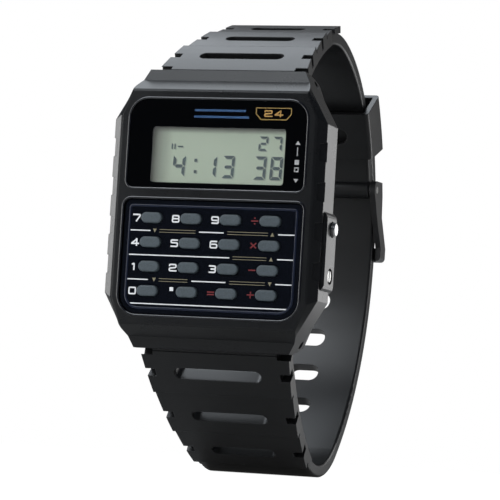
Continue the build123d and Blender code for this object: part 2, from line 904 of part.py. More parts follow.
with BuildPart() as case_gasket:
    extrude(gasket_ring(), amount=gasket_depth)
save(case_gasket, "case_gasket")

with BuildPart() as case_screws:
    for x, z in screw_places:
        extrude(disc(0, x, z, screw_radius), amount=screw_length)
        loft([disc(0, x, z, screw_head_radius), disc(screw_head_depth, x, z, screw_radius)])
        slot = rectangle(
            0,
            x - 2 * screw_head_radius,
            x + 2 * screw_head_radius,
            z - screw_slot_width / 2,
            z + screw_slot_width / 2,
        )
        extrude(slot, amount=screw_slot_depth, mode=Mode.SUBTRACT)
save(case_screws, "case_screws")


def make_pusher(name, z, proud, travel, slotted):
    """A pusher with a head, a stem and a groove for its clip."""
    head_foot_x = pusher_floor_x + pusher_floor_gap + travel
    head_top_x = boss_x + proud
    groove_x = cavity_half_width - pusher_clip_gap - pusher_clip_thickness
    with BuildPart() as pusher:
        with BuildSketch(cross(head_foot_x, -pusher_height, z)) as head:
            Circle(pusher_head_radius)
        extrude(head.sketch, amount=head_top_x - head_foot_x)
        chamfer(pusher.faces().sort_by(Axis.X)[-1].edges(), pusher_edge_chamfer)
        with BuildSketch(cross(pusher_tip_x, -pusher_height, z)) as stem:
            Circle(pusher_stem_radius)
        extrude(stem.sketch, amount=head_foot_x - pusher_tip_x)
        with BuildSketch(cross(groove_x, -pusher_height, z)) as groove:
            Circle(pusher_head_radius)
            Circle(pusher_stem_radius - pusher_groove_depth, mode=Mode.SUBTRACT)
        extrude(groove.sketch, amount=pusher_clip_thickness, mode=Mode.SUBTRACT)
        if slotted:
            with BuildSketch(cross(head_top_x - adjust_slot_depth, -pusher_height, z)) as slot:
                Rectangle(adjust_slot_width, 2 * pusher_head_radius)
            extrude(slot.sketch, amount=adjust_slot_depth, mode=Mode.SUBTRACT)
    save(pusher, name)
    with BuildPart() as clip:
        with BuildSketch(cross(groove_x, -pusher_height, z)) as ring:
            Circle(pusher_clip_radius)
            Circle(pusher_stem_radius - pusher_groove_depth, mode=Mode.SUBTRACT)
            with Locations((pusher_clip_radius, 0)):
                Rectangle(2 * pusher_clip_radius, pusher_clip_mouth, mode=Mode.SUBTRACT)
        extrude(ring.sketch, amount=pusher_clip_thickness)
    save(clip, f"{name}_clip")


make_pusher("mode_pusher", mode_pusher_z, mode_pusher_proud, mode_pusher_travel, False)
make_pusher("adjust_pusher", adjust_pusher_z, adjust_pusher_proud, adjust_pusher_travel, True)

with BuildPart() as pusher_seals:
    for z in pusher_rows:
        with BuildSketch(cross(cavity_half_width + seal_inset, -pusher_height, z)) as ring:
            Circle(seal_outer_radius)
            Circle(pusher_stem_radius + seal_gap, mode=Mode.SUBTRACT)
        extrude(ring.sketch, amount=seal_width)
save(pusher_seals, "pusher_seals")

# Spring bars, each a tube with a collar and a thinner tip at both ends
for name, end in (("spring_bar_12", 1), ("spring_bar_6", -1)):
    tube_half = channel_half_width - bar_end_gap
    with BuildPart() as spring_bar:
        for radius, half in (
            (bar_radius, tube_half - bar_collar_length),
            (bar_radius - bar_collar_drop, tube_half),
            (bar_tip_radius, channel_half_width + bar_tip_reach),
        ):
            with BuildSketch(cross(0, -bar_height, end * bar_z)) as rod:
                Circle(radius)
            extrude(rod.sketch, amount=half, both=True)
    save(spring_bar, name)


def bend(start, heading, radius, turn):
    """A round stretch of a path: its centre, radius, first angle and turn, then its end and end heading."""
    hand = 1 if turn > 0 else -1
    centre_y = start[0] - hand * radius * sin(radians(heading))
    centre_z = start[1] + hand * radius * cos(radians(heading))
    after = heading + turn
    end = (centre_y + hand * radius * sin(radians(after)), centre_z - hand * radius * cos(radians(after)))
    return (centre_y, centre_z, radius, heading - hand * 90, turn), end, after


def on_arc(arc, angle, outward=0.0):
    """A point at an angle along a round stretch, moved outward from its outer face."""
    centre_y, centre_z, radius, first, turn = arc
    turned = radians(first + angle)
    return (centre_y + (radius + outward) * cos(turned), centre_z + (radius + outward) * sin(turned))


def arc_line(arc, outward, from_angle, to_angle):
    """The three points that draw a round stretch between two angles."""
    middle = (from_angle + to_angle) / 2
    return [on_arc(arc, angle, outward) for angle in (from_angle, middle, to_angle)]


def strap_face(arcs):
    """The strap's side face along round stretches that follow each other."""
    with BuildSketch(Plane.YZ) as face:
        with BuildLine():
            for arc in arcs:
                ThreePointArc(*arc_line(arc, 0, 0, arc[4]))
                ThreePointArc(*arc_line(arc, -strap_thickness, 0, arc[4]))
            Line(on_arc(arcs[0], 0), on_arc(arcs[0], 0, -strap_thickness))
            Line(on_arc(arcs[-1], arcs[-1][4]), on_arc(arcs[-1], arcs[-1][4], -strap_thickness))
        make_face()
    return face.sketch


def block_face(arc, from_length, to_length):
    """One saw-tooth block in side view: its rise grows towards the strap's end."""
    hand = 1 if arc[4] > 0 else -1
    first = hand * degrees(from_length / arc[2])
    last = hand * degrees(to_length / arc[2])
    middle_rise = (block_low_rise + block_high_rise) / 2
    with BuildSketch(Plane.YZ) as face:
        with BuildLine():
            ThreePointArc(
                on_arc(arc, first, block_low_rise),
                on_arc(arc, (first + last) / 2, middle_rise),
                on_arc(arc, last, block_high_rise),
            )
            Line(on_arc(arc, last, block_high_rise), on_arc(arc, last, -block_root))
            ThreePointArc(*arc_line(arc, -block_root, last, first))
            Line(on_arc(arc, first, -block_root), on_arc(arc, first, block_low_rise))
        make_face()
    return face.sketch


def surface_plane(arc, angle):
    """A plane on the strap's outer face, facing outward, with its local x at 3 o'clock."""
    centre_y, centre_z, radius, first, turn = arc
    turned = radians(first + angle)
    point = on_arc(arc, angle)
    return Plane(origin=(0, point[0], point[1]), x_dir=(1, 0, 0), z_dir=(0, cos(turned), sin(turned)))


def make_front(arc, end, start, first_end):
    """The wide front of a strap: blocks, slots and pockets, and the tongue to its bar."""
    hand = 1 if arc[4] > 0 else -1
    with BuildPart() as front:
        extrude(strap_face([arc]), amount=strap_front_half_width + overrun, both=True)
        for index in range(block_count):
            block_end = first_end + index * block_pitch
            block = block_face(arc, max(block_end - block_pitch, 0), block_end)
            extrude(block, amount=strap_front_half_width + overrun, both=True)
        # The sides draw in from the case to the rear of the front stretch
        finish = on_arc(arc, arc[4])
        chord = hypot(finish[0] - start[0], finish[1] - start[1])
        chord_y, chord_z = (finish[0] - start[0]) / chord, (finish[1] - start[1]) / chord
        taper_plane = Plane(origin=(0, start[0], start[1]), x_dir=(1, 0, 0), z_dir=(0, -chord_z, chord_y))
        taper_points = [
            (-strap_front_half_width, -overrun),
            (strap_front_half_width, -overrun),
            (strap_front_half_width, 0),
            (strap_half_width, chord),
            (strap_half_width, chord + overrun),
            (-strap_half_width, chord + overrun),
            (-strap_half_width, chord),
            (-strap_front_half_width, 0),
        ]
        extrude(outline(taper_plane, taper_points), amount=3 * overrun, both=True, mode=Mode.INTERSECT)
        # Slots through the strap, and a shallow pocket at each side of every slot
        for index in range(block_count):
            slot_length = first_end + index * block_pitch - slot_setback
            plane = surface_plane(arc, hand * degrees(slot_length / arc[2]))
            half = strap_front_half_width - (strap_front_half_width - strap_half_width) * slot_length / chord
            with BuildSketch(plane) as slot:
                SlotOverall(2 * (half - slot_side_margin), slot_width)
            extrude(slot.sketch, amount=overrun, both=True, mode=Mode.SUBTRACT)
            with BuildSketch(plane.offset(-side_pocket_floor)) as pockets:
                with Locations((-half, 0), (half, 0)):
                    Rectangle(2 * side_pocket_depth, side_pocket_width)
            extrude(pockets.sketch, amount=overrun, mode=Mode.SUBTRACT)
        # A shallow groove under the lip that ends each block
        for index in range(block_count):
            groove_length = first_end + index * block_pitch + block_groove_width / 2
            plane = surface_plane(arc, hand * degrees(groove_length / arc[2]))
            with BuildSketch(plane.offset(-block_groove_depth)) as groove:
                Rectangle(2 * strap_front_half_width, block_groove_width)
            extrude(groove.sketch, amount=block_groove_depth + block_high_rise, mode=Mode.SUBTRACT)
        # Clear the case's ears beside the tongue
        lip = end_z + corner_notch_reach
        ear_points = [
            (-case_thickness, end * channel_root_z),
            (-case_thickness, end * lip),
            (-corner_notch_height, end * lip),
            (-ear_knee_height, end * (end_z - ear_knee_inset + ear_clearance)),
            (-back_rim_height, end * (end_z - ear_foot_inset + ear_clearance)),
            (overrun, end * (end_z - ear_foot_inset - ear_knee_inset)),
            (overrun, end * channel_root_z),
        ]
        for hand_x in (-1, 1):
            ear_room = outline(Plane.YZ.offset(hand_x * (channel_half_width - strap_side_gap)), ear_points)
            extrude(ear_room, amount=hand_x * overrun, mode=Mode.SUBTRACT)
        # The tongue under the hood, round the spring bar
        tongue_half = channel_half_width - strap_side_gap
        inner_start = on_arc(arc, 0, -strap_thickness)
        tongue_points = [
            (-bar_height - eye_radius, end * bar_z),
            start,
            inner_start,
            (eye_radius - bar_height, end * bar_z),
        ]
        extrude(outline(Plane.YZ, tongue_points), amount=tongue_half, both=True)
        with BuildSketch(cross(0, -bar_height, end * bar_z)) as eye:
            Circle(eye_radius)
        extrude(eye.sketch, amount=tongue_half, both=True)
    return front.part


def cut_bar_bore(end):
    """The bore for the spring bar, through the tongue of the open part."""
    with BuildSketch(cross(0, -bar_height, end * bar_z)) as bore:
        Circle(bar_radius + bar_bore_gap)
    extrude(bore.sketch, amount=channel_half_width, both=True, mode=Mode.SUBTRACT)


# Path of the 6 o'clock strap: out from the case and round the bottom, up to the rear
start_6 = (-bar_height - eye_radius + lead_drop_6, -(bar_z + lead_reach_6))
front_6, bend_6, heading = bend(start_6, lead_heading_6, front_radius_6, front_turn_6)
bottom_6, rear_start, rear_heading = bend(bend_6, heading, bottom_radius, bottom_turn)

# Path of the 12 o'clock strap: over the top, then a bend that runs onto the rear inside the other half
start_12 = (-bar_height - eye_radius + lead_drop_12, bar_z + lead_reach_12)
front_12, bend_12, heading = bend(start_12, lead_heading_12, front_radius_12, -front_turn_12)
top_12, top_end, top_heading = bend(bend_12, heading, top_radius, -top_turn)

# The rear is the one round stretch that both halves run onto without a corner
joining_y = top_end[0] + joining_radius * sin(radians(top_heading))
joining_z = top_end[1] - joining_radius * cos(radians(top_heading))
inward_y, inward_z = -sin(radians(rear_heading)), cos(radians(rear_heading))
across_y, across_z = joining_y - rear_start[0], joining_z - rear_start[1]
lap_drop = strap_thickness + strap_gap
nearness = lap_drop + joining_radius
rear_radius = (across_y**2 + across_z**2 - nearness**2) / (
    2 * (across_y * inward_y + across_z * inward_z - nearness)
)
rear_centre = (rear_start[0] + rear_radius * inward_y, rear_start[1] + rear_radius * inward_z)
lap_radius = rear_radius - lap_drop
lap_angle = degrees(atan2(joining_z - rear_centre[1], joining_y - rear_centre[0]))
buckle_angle = lap_angle - degrees(lap_length / lap_radius)
tip_angle = buckle_angle + degrees(tail_reach / rear_radius)
keeper_angle = buckle_angle + degrees(keeper_reach / rear_radius)
rear_6, rear_end, heading = bend(rear_start, rear_heading, rear_radius, tip_angle - rear_heading + 90)
joining_12, lap_start, heading = bend(top_end, top_heading, joining_radius, lap_angle - top_heading - 90)
lap_12 = (rear_centre[0], rear_centre[1], lap_radius, lap_angle, buckle_angle - lap_angle)
pivot_radius = lap_radius - buckle_eye_radius
print("rear radius", round(rear_radius, 2), "lap starts at", round(lap_angle, 1), "degrees")


def rear_point(radius, angle):
    """A point about the rear arc's centre, seen from 3 o'clock."""
    turned = radians(angle)
    return (rear_centre[0] + radius * cos(turned), rear_centre[1] + radius * sin(turned))


def rear_plane(radius, angle, x=0.0):
    """A plane facing away from the rear arc's centre, with its local x at 3 o'clock."""
    turned = radians(angle)
    point = rear_point(radius, angle)
    return Plane(origin=(x, point[0], point[1]), x_dir=(1, 0, 0), z_dir=(0, cos(turned), sin(turned)))


def rear_band(inner_radius, outer_radius, from_angle, to_angle):
    """A sector between two radii about the rear arc's centre."""
    middle = (from_angle + to_angle) / 2
    with BuildSketch(Plane.YZ) as face:
        with BuildLine():
            for radius in (inner_radius, outer_radius):
                ThreePointArc(*[rear_point(radius, angle) for angle in (from_angle, middle, to_angle)])
            for angle in (from_angle, to_angle):
                Line(rear_point(inner_radius, angle), rear_point(outer_radius, angle))
        make_face()
    return face.sketch


pivot = rear_point(pivot_radius, buckle_angle)
hole_middle_radius = rear_radius - strap_thickness / 2
prong_hole_angle = buckle_angle - degrees(prong_hole_reach / hole_middle_radius)

# Straps
with BuildPart() as strap_12:
    extrude(strap_face([top_12, joining_12, lap_12]), amount=strap_half_width, both=True)
    fillet(strap_12.faces().filter_by(Axis.X).edges().filter_by(GeomType.CIRCLE), strap_edge_fillet)
    add(make_front(front_12, 1, start_12, block_first_end_12))
    with BuildSketch(cross(0, pivot[0], pivot[1])) as buckle_eye:
        Circle(buckle_eye_radius)
    extrude(buckle_eye.sketch, amount=strap_half_width, both=True)
    cut_bar_bore(1)
    with BuildSketch(cross(0, pivot[0], pivot[1])) as buckle_bore:
        Circle(buckle_bar_radius + buckle_bar_gap)
    extrude(buckle_bore.sketch, amount=strap_half_width, both=True, mode=Mode.SUBTRACT)
    with BuildSketch(rear_plane(pivot_radius, buckle_angle)) as prong_slot:
        Rectangle(prong_slot_width, 2 * prong_slot_reach)
    extrude(prong_slot.sketch, amount=overrun, both=True, mode=Mode.SUBTRACT)
save(strap_12, "strap_12")

with BuildPart() as strap_6:
    extrude(strap_face([bottom_6, rear_6]), amount=strap_half_width, both=True)
    tip_direction = Axis((0, 0, 0), (0, cos(radians(tip_angle)), sin(radians(tip_angle))))
    tip_point = rear_point(rear_radius, tip_angle)
    across_edges = strap_6.edges().filter_by(tip_direction)
    fillet(across_edges.sort_by_distance((0, tip_point[0], tip_point[1]))[:2], tip_corner)
    fillet(strap_6.faces().filter_by(Axis.X).edges().filter_by(GeomType.CIRCLE), strap_edge_fillet)
    add(make_front(front_6, -1, start_6, block_first_end_6))
    cut_bar_bore(-1)
    for index in range(-holes_before, holes_after + 1):
        angle = prong_hole_angle + index * degrees(hole_pitch / rear_radius)
        with BuildSketch(rear_plane(rear_radius, angle)) as hole:
            SlotOverall(hole_length, hole_width)
        extrude(hole.sketch, amount=overrun, both=True, mode=Mode.SUBTRACT)
save(strap_6, "strap_6")

# Keeper: a loop round both strap halves
keeper_half_angle = degrees(keeper_length / 2 / rear_radius)
keeper_low, keeper_high = keeper_angle - keeper_half_angle, keeper_angle + keeper_half_angle
keeper_inner = lap_radius - strap_thickness - keeper_inner_drop
keeper_outer = rear_radius + strap_gap
keeper_room_half = strap_half_width + strap_gap
with BuildPart() as keeper:
    ring = rear_band(keeper_inner - keeper_wall, keeper_outer + keeper_wall, keeper_low, keeper_high)
    extrude(ring, amount=keeper_room_half + keeper_wall, both=True)
    long_edges = keeper.faces().filter_by(Axis.X).edges().filter_by(GeomType.CIRCLE)
    fillet(long_edges, keeper_edge_fillet)
    room_low, room_high = keeper_low - keeper_half_angle, keeper_high + keeper_half_angle
    room = rear_band(keeper_inner, keeper_outer, room_low, room_high)
    extrude(room, amount=keeper_room_half, both=True, mode=Mode.SUBTRACT)
    with BuildSketch(rear_plane(keeper_inner, keeper_angle)) as keeper_window:
        SlotOverall(keeper_window_length, keeper_window_width)
    extrude(keeper_window.sketch, amount=-2 * keeper_wall, mode=Mode.SUBTRACT)
save(keeper, "keeper")

# Buckle: the bar in the strap's eye, the frame that swings on it and the prong through the strap
rail_inner_x = strap_half_width + rail_gap
rail_outer_x = rail_inner_x + rail_width
with BuildPart() as buckle_bar:
    with BuildSketch(cross(0, pivot[0], pivot[1])) as rod:
        Circle(buckle_bar_radius)
    extrude(rod.sketch, amount=rail_outer_x, both=True)
save(buckle_bar, "buckle_bar")

crossbar_inner = rear_radius + strap_gap
crossbar_outer = crossbar_inner + crossbar_thickness
crossbar_angle = buckle_angle - degrees(crossbar_reach / crossbar_inner)
crossbar_half_angle = degrees(crossbar_width / 2 / crossbar_inner)
crossbar_low, crossbar_high = crossbar_angle - crossbar_half_angle, crossbar_angle + crossbar_half_angle
waist_angle = (buckle_angle + crossbar_high) / 2
heel_half_angle = degrees(buckle_eye_radius / pivot_radius)
rail_points = [
    rear_point(pivot_radius, buckle_angle + heel_half_angle),
    rear_point(pivot_radius + rail_heel_rise, buckle_angle + heel_half_angle / 2),
    rear_point(pivot_radius + rail_heel_rise, buckle_angle - heel_half_angle),
    rear_point(pivot_radius + rail_waist_rise, waist_angle),
    rear_point(crossbar_outer, crossbar_high),
    rear_point(crossbar_outer, crossbar_low),
    rear_point(crossbar_outer - rail_depth, crossbar_low),
    rear_point(crossbar_outer - rail_depth, crossbar_high),
    rear_point(pivot_radius + rail_waist_rise - rail_depth, waist_angle),
    rear_point(pivot_radius - buckle_eye_radius, buckle_angle),
]
with BuildPart() as buckle_frame:
    for hand in (-1, 1):
        with BuildSketch(cross(hand * rail_inner_x, 0, 0)) as rail:
            with BuildLine():
                Polyline(*rail_points, close=True)
            make_face()
            with Locations(pivot):
                Circle(buckle_eye_radius)
                Circle(buckle_bar_radius + buckle_bar_gap, mode=Mode.SUBTRACT)
        extrude(rail.sketch, amount=hand * rail_width)
    crossbar = rear_band(crossbar_inner, crossbar_outer, crossbar_low, crossbar_high)
    extrude(crossbar, amount=rail_outer_x, both=True)
    crossbar_direction = Axis((0, 0, 0), (0, cos(radians(crossbar_low)), sin(radians(crossbar_low))))
    low_point = rear_point(crossbar_outer, crossbar_low)
    upright_edges = buckle_frame.edges().filter_by(crossbar_direction)
    corner_edges = [
        upright_edges.sort_by_distance((x, low_point[0], low_point[1]))[0]
        for x in (-rail_outer_x, rail_outer_x)
    ]
    fillet(corner_edges, crossbar_corner)
save(buckle_frame, "buckle_frame")

run_radius = rear_radius - strap_thickness - prong_inner_gap - prong_thickness / 2
tip_radius = crossbar_outer + prong_rest_gap + prong_thickness / 2
lean = sin(radians(90 - prong_lean)) / cos(radians(90 - prong_lean))
inner_bend_angle = prong_hole_angle + degrees((hole_middle_radius - run_radius) * lean / run_radius)
outer_bend_angle = prong_hole_angle - degrees((tip_radius - hole_middle_radius) * lean / tip_radius)
prong_tip_angle = crossbar_low - degrees(prong_tip_reach / tip_radius)
prong_route = [
    pivot,
    rear_point(run_radius, (buckle_angle + 2 * inner_bend_angle) / 3),
    rear_point(run_radius, inner_bend_angle),
    rear_point(tip_radius, outer_bend_angle),
    rear_point(tip_radius, prong_tip_angle),
]
with BuildPart() as buckle_prong:
    with BuildSketch(cross(0, 0, 0)) as prong_side:
        with BuildLine() as prong_line:
            Polyline(*prong_route)
        trace(prong_line.edges(), line_width=prong_thickness)
        with Locations(pivot):
            Circle(prong_ring_radius)
            Circle(buckle_bar_radius + buckle_bar_gap, mode=Mode.SUBTRACT)
    extrude(prong_side.sketch, amount=prong_width / 2, both=True)
save(buckle_prong, "buckle_prong")
print("rear centre", [round(value, 3) for value in rear_centre])
print("buckle pivot", [round(value, 3) for value in pivot])
print("prong hole angle", round(prong_hole_angle, 2), "crossbar angle", round(crossbar_angle, 2))
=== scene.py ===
# %% [markdown]
# A wrist calculator with a liquid crystal display, dressed for a picture. The
# solids come from the watch's own CAD model, in metres, with the dial facing
# -Y and 12 o'clock along +Z. Blender moves none of them: it gives each one its
# finish and adds the thin things that a solid model leaves out, which are the
# prints, the fine lips round the windows, the display's segments and the light.

# %% Load the watch
from math import cos, pi, radians, sin

import bmesh
import bpy
import json
from mathutils import Matrix, Vector


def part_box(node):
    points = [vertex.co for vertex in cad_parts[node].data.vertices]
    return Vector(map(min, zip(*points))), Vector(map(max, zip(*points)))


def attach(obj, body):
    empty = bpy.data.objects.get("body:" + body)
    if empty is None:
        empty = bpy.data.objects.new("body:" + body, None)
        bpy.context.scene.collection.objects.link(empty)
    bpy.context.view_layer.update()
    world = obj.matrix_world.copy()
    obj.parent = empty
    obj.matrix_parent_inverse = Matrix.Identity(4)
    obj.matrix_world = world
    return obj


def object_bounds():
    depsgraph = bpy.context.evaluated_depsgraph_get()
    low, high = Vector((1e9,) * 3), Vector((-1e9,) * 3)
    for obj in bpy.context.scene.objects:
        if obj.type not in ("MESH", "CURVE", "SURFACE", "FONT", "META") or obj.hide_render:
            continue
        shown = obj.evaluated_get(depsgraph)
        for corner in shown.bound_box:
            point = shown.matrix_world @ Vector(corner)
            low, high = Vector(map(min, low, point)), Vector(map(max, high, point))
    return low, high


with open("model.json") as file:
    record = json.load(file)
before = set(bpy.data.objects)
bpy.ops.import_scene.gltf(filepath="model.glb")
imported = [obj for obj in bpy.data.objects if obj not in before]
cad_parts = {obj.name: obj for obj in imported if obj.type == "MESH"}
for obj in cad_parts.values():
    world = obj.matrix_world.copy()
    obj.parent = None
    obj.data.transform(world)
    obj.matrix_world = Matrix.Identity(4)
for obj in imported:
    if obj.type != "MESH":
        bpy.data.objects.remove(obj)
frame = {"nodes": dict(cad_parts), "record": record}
cad_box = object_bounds()
MM = 0.001
print("box in mm:", [[round(value / MM, 2) for value in corner] for corner in cad_box])

# %% [markdown]
# The picture was taken with a long lens from a little below the dial's middle
# and from the 3 o'clock side. A camera is three directions and a place: the
# angles below were found by matching corners of the case, and its distance by
# how much the far strap shrinks.

# %% Set the camera
CAMERA_TARGET = Vector((-3.168, 20.0, -3.979)) * MM
CAMERA_DISTANCE = 448.619 * MM
CAMERA_YAW = radians(18.761)
CAMERA_PITCH = radians(-4.217)
CAMERA_ROLL = radians(3.506)
LENS_MM = 199.24
SENSOR_MM = 36.0


def camera_axes(yaw, pitch, roll):
    """The camera's right, up and backward directions."""
    level_right = Vector((cos(yaw), sin(yaw), 0))
    level_back = Vector((sin(yaw), -cos(yaw), 0))
    back = level_back * cos(pitch) + Vector((0, 0, 1)) * sin(pitch)
    level_up = Vector((0, 0, 1)) * cos(pitch) - level_back * sin(pitch)
    right = level_right * cos(roll) + level_up * sin(roll)
    up = level_up * cos(roll) - level_right * sin(roll)
    return right, up, back


right, up, back = camera_axes(CAMERA_YAW, CAMERA_PITCH, CAMERA_ROLL)
camera_data = bpy.data.cameras.new("picture_camera")
camera_data.lens = LENS_MM
camera_data.sensor_width = SENSOR_MM
camera_data.clip_start = 0.01
camera_data.clip_end = 50.0
camera = bpy.data.objects.new("picture_camera", camera_data)
place = CAMERA_TARGET + back * CAMERA_DISTANCE
camera.matrix_world = Matrix.Translation(place) @ Matrix((right, up, back)).transposed().to_4x4()
bpy.context.scene.collection.objects.link(camera)
bpy.context.scene.camera = camera
bpy.context.scene.view_settings.view_transform = "Standard"
print("camera at", [round(value, 4) for value in place])

# %% [markdown]
# A finish is a small network of nodes. Drawing such a network by hand is slow
# to read in code, so one class wraps a node's output and lets sums be written
# as sums: `1 - mask * 0.5` adds its own Math nodes. Colours never pass through
# Math nodes, which would turn them grey, but through Mix and Vector Math.


# %% Wires that do arithmetic
class Wire:
    """A node's output in one finish, on which arithmetic adds Math nodes."""

    def __init__(self, finish, socket):
        self.finish = finish
        self.socket = socket

    def math(self, operation, *others):
        sockets = dict(enumerate((self, *others)))
        return self.finish.node("ShaderNodeMath", {"operation": operation}, sockets)

    def __add__(self, other):
        return self.math("ADD", other)

    def __sub__(self, other):
        return self.math("SUBTRACT", other)

    def __mul__(self, other):
        return self.math("MULTIPLY", other)

    def __truediv__(self, other):
        return self.math("DIVIDE", other)

    def __pow__(self, other):
        return self.math("POWER", other)

    __radd__ = __add__
    __rmul__ = __mul__

    def __rsub__(self, other):
        return self.finish.node("ShaderNodeMath", {"operation": "SUBTRACT"}, {0: other, 1: self})

    def __rtruediv__(self, other):
        return self.finish.node("ShaderNodeMath", {"operation": "DIVIDE"}, {0: other, 1: self})

    def clamp(self, low, high):
        """This value, moved from low..high to 0..1 and held there."""
        return self.finish.node(
            "ShaderNodeMapRange", {"clamp": True}, {"Value": self, "From Min": low, "From Max": high}
        )


print("arithmetic on wires is ready")

# %% [markdown]
# The second class is the finish itself: a material with one surface shader. Its
# `node` method adds any node from its type, its settings and the values or
# wires of its sockets. A texture reads object coordinates, which for this watch
# are metres, so a grain's size is set in real millimetres.


# %% Finishes
class Finish:
    """A material in the making."""

    def __init__(self, name):
        self.material = bpy.data.materials.new(name)
        self.material.use_nodes = True
        self.tree = self.material.node_tree
        self.tree.nodes.clear()
        self.coordinates = self.node("ShaderNodeTexCoord", {}, {}, output="Object")

    def node(self, kind, settings, sockets, output=0):
        """Adds a node: its settings first, then its sockets; returns one output's wire."""
        made = self.tree.nodes.new(kind)
        for name, value in settings.items():
            setattr(made, name, value)
        for name, value in sockets.items():
            socket = made.inputs[name]
            if isinstance(value, Wire):
                self.tree.links.new(value.socket, socket)
            elif isinstance(value, tuple) and socket.type == "RGBA":
                socket.default_value = (*value, 1.0)
            else:
                socket.default_value = value
        return Wire(self, made.outputs[output])

    def noise(self, size_mm, detail=2.0, stretch=(1, 1, 1), where=None):
        """Soft noise from 0 to 1, with spots of about this size."""
        stretched = self.node(
            "ShaderNodeVectorMath",
            {"operation": "MULTIPLY"},
            {0: where or self.coordinates, 1: tuple(1 / value for value in stretch)},
        )
        return self.node(
            "ShaderNodeTexNoise",
            {},
            {"Vector": stretched, "Scale": 1 / (size_mm * MM), "Detail": detail},
        )

    def mix(self, factor, first, second):
        """A colour between two colours."""
        return self.node(
            "ShaderNodeMix",
            {"data_type": "RGBA"},
            {0: factor, 6: first, 7: second},
            output=2,
        )

    def axis(self, name):
        """One of the watch's coordinates, in millimetres."""
        split = self.node("ShaderNodeSeparateXYZ", {}, {0: self.coordinates}, output=name)
        return split / MM

    def soft_edge(self, radius_mm):
        """The surface direction with every sharp edge rounded off."""
        return self.node("ShaderNodeBevel", {"samples": 4}, {"Radius": radius_mm * MM})

    def edge_mask(self, rounded):
        """1 on an edge and 0 on a flat, from how far the rounded direction leans."""
        straight = self.node("ShaderNodeNewGeometry", {}, {}, output="True Normal")
        lean = self.node(
            "ShaderNodeVectorMath",
            {"operation": "DOT_PRODUCT"},
            {0: rounded, 1: straight},
            output="Value",
        )
        return (1 - lean).clamp(0.01, 0.2)

    def bump(self, height, depth_mm, strength=1.0, over=None):
        """A surface direction disturbed by a height from 0 to 1."""
        sockets = {"Height": height, "Strength": strength, "Distance": depth_mm * MM}
        if over is not None:
            sockets["Normal"] = over
        return self.node("ShaderNodeBump", {}, sockets)

    def surface(self, **sockets):
        """Ends the finish with its surface shader. Socket names have _ for a space."""
        named = {name.replace("_", " "): value for name, value in sockets.items()}
        shader = self.node("ShaderNodeBsdfPrincipled", {}, named)
        return self.show(shader)

    def show(self, shader):
        output = self.tree.nodes.new("ShaderNodeOutputMaterial")
        self.tree.links.new(shader.socket, output.inputs["Surface"])
        print("finish", self.material.name, "has", len(self.tree.nodes), "nodes")
        return self.material


def shade(colour, factor):
    """A colour made lighter or darker."""
    return tuple(min(1.0, value * factor) for value in colour)


# %% [markdown]
# The case and the strap are moulded in a charcoal resin. Its skin comes from a
# spark-eroded mould: a grain far finer than a millimetre and broad cloudy
# patches of slightly different gloss. Its edges are lighter in colour, partly
# from wear and partly as a painted highlight. A rounded edge also catches real
# light in a thin line, which the Bevel node gives without touching the model's
# mesh.

# %% The moulded resins
RESIN_COLOUR = (0.006, 0.0065, 0.0072)
STRAP_COLOUR = (0.008, 0.0084, 0.009)


def moulded_resin(name, colour, grain_mm, gloss, edge_mm):
    """Charcoal resin with its mould's grain, and edges lighter from wear and a painted highlight."""
    finish = Finish(name)
    rounded = finish.soft_edge(edge_mm)
    edge = finish.edge_mask(rounded)
    cloud = finish.noise(7.0, 3.0)
    grain = finish.noise(grain_mm, 2.0)
    patches = finish.mix(cloud, shade(colour, 0.85), shade(colour, 1.15))
    # Edges are lighter in colour: partly wear, partly a painted highlight.
    worn_and_highlit = finish.mix(edge * 0.5, patches, shade(colour, 3.0))
    rough = gloss + cloud * 0.08 + grain * 0.06 - edge * 0.06
    return finish.surface(
        Base_Color=worn_and_highlit,
        Roughness=rough,
        Normal=finish.bump(grain, 0.012, 0.35, rounded),
    )


case_resin = moulded_resin("case_resin", RESIN_COLOUR, 0.16, 0.22, 0.14)
strap_resin = moulded_resin("strap_resin", STRAP_COLOUR, 0.22, 0.25, 0.22)

# %% [markdown]
# The window over the display is clear acrylic, and the plate around the keys is
# glossy and black. Both are polished, so nearly all of what the eye sees on
# them is reflection. Faint wiping marks in the roughness keep them from looking
# like ideal mirrors.

# %% The window and the glossy blacks
ACRYLIC_IOR = 1.49


def wiping_marks(finish, low, high):
    """Roughness that follows faint strokes of a cloth."""
    strokes = finish.noise(2.6, 4.0, stretch=(5, 1, 1))
    return low + strokes.clamp(0.35, 0.75) * (high - low)


window = Finish("window_acrylic")
window_glass = window.surface(
    Base_Color=(0.97, 0.98, 0.99),
    Roughness=wiping_marks(window, 0.0, 0.03),
    Transmission_Weight=1.0,
    IOR=ACRYLIC_IOR,
)


def glossy_black(name, colour, low, high):
    """Black lacquer, or a black print seen through clear plastic."""
    finish = Finish(name)
    tint = finish.mix(finish.noise(9.0), shade(colour, 0.7), shade(colour, 1.3))
    return finish.surface(
        Base_Color=tint,
        Roughness=wiping_marks(finish, low, high),
    )


keypad_black = glossy_black("keypad_plate_black", (0.0025, 0.0032, 0.0055), 0.04, 0.1)
mask_print = glossy_black("window_mask_black", (0.003, 0.003, 0.0035), 0.3, 0.42)

# %% [markdown]
# Rubber shows its softness by what it doesn't do: no sharp reflection, and a
# fine dull grain. The keys are blue-grey silicone with a speckle in the colour;
# the gasket and the seals are plain black; the mat under the keys is a paler
# grey. One recipe with other numbers makes them all.


# %% The rubbers
def rubber(name, colour, grain_mm, rough, speckle=0.25):
    """Dull moulded rubber with a fine speckle."""
    finish = Finish(name)
    grain = finish.noise(grain_mm, 3.0)
    spots = finish.mix(grain.clamp(0.3, 0.7), shade(colour, 1 - speckle), shade(colour, 1 + speckle))
    return finish.surface(
        Base_Color=spots,
        Roughness=rough + finish.noise(1.5) * 0.1,
        Normal=finish.bump(grain, 0.02, 0.4, finish.soft_edge(0.1)),
    )


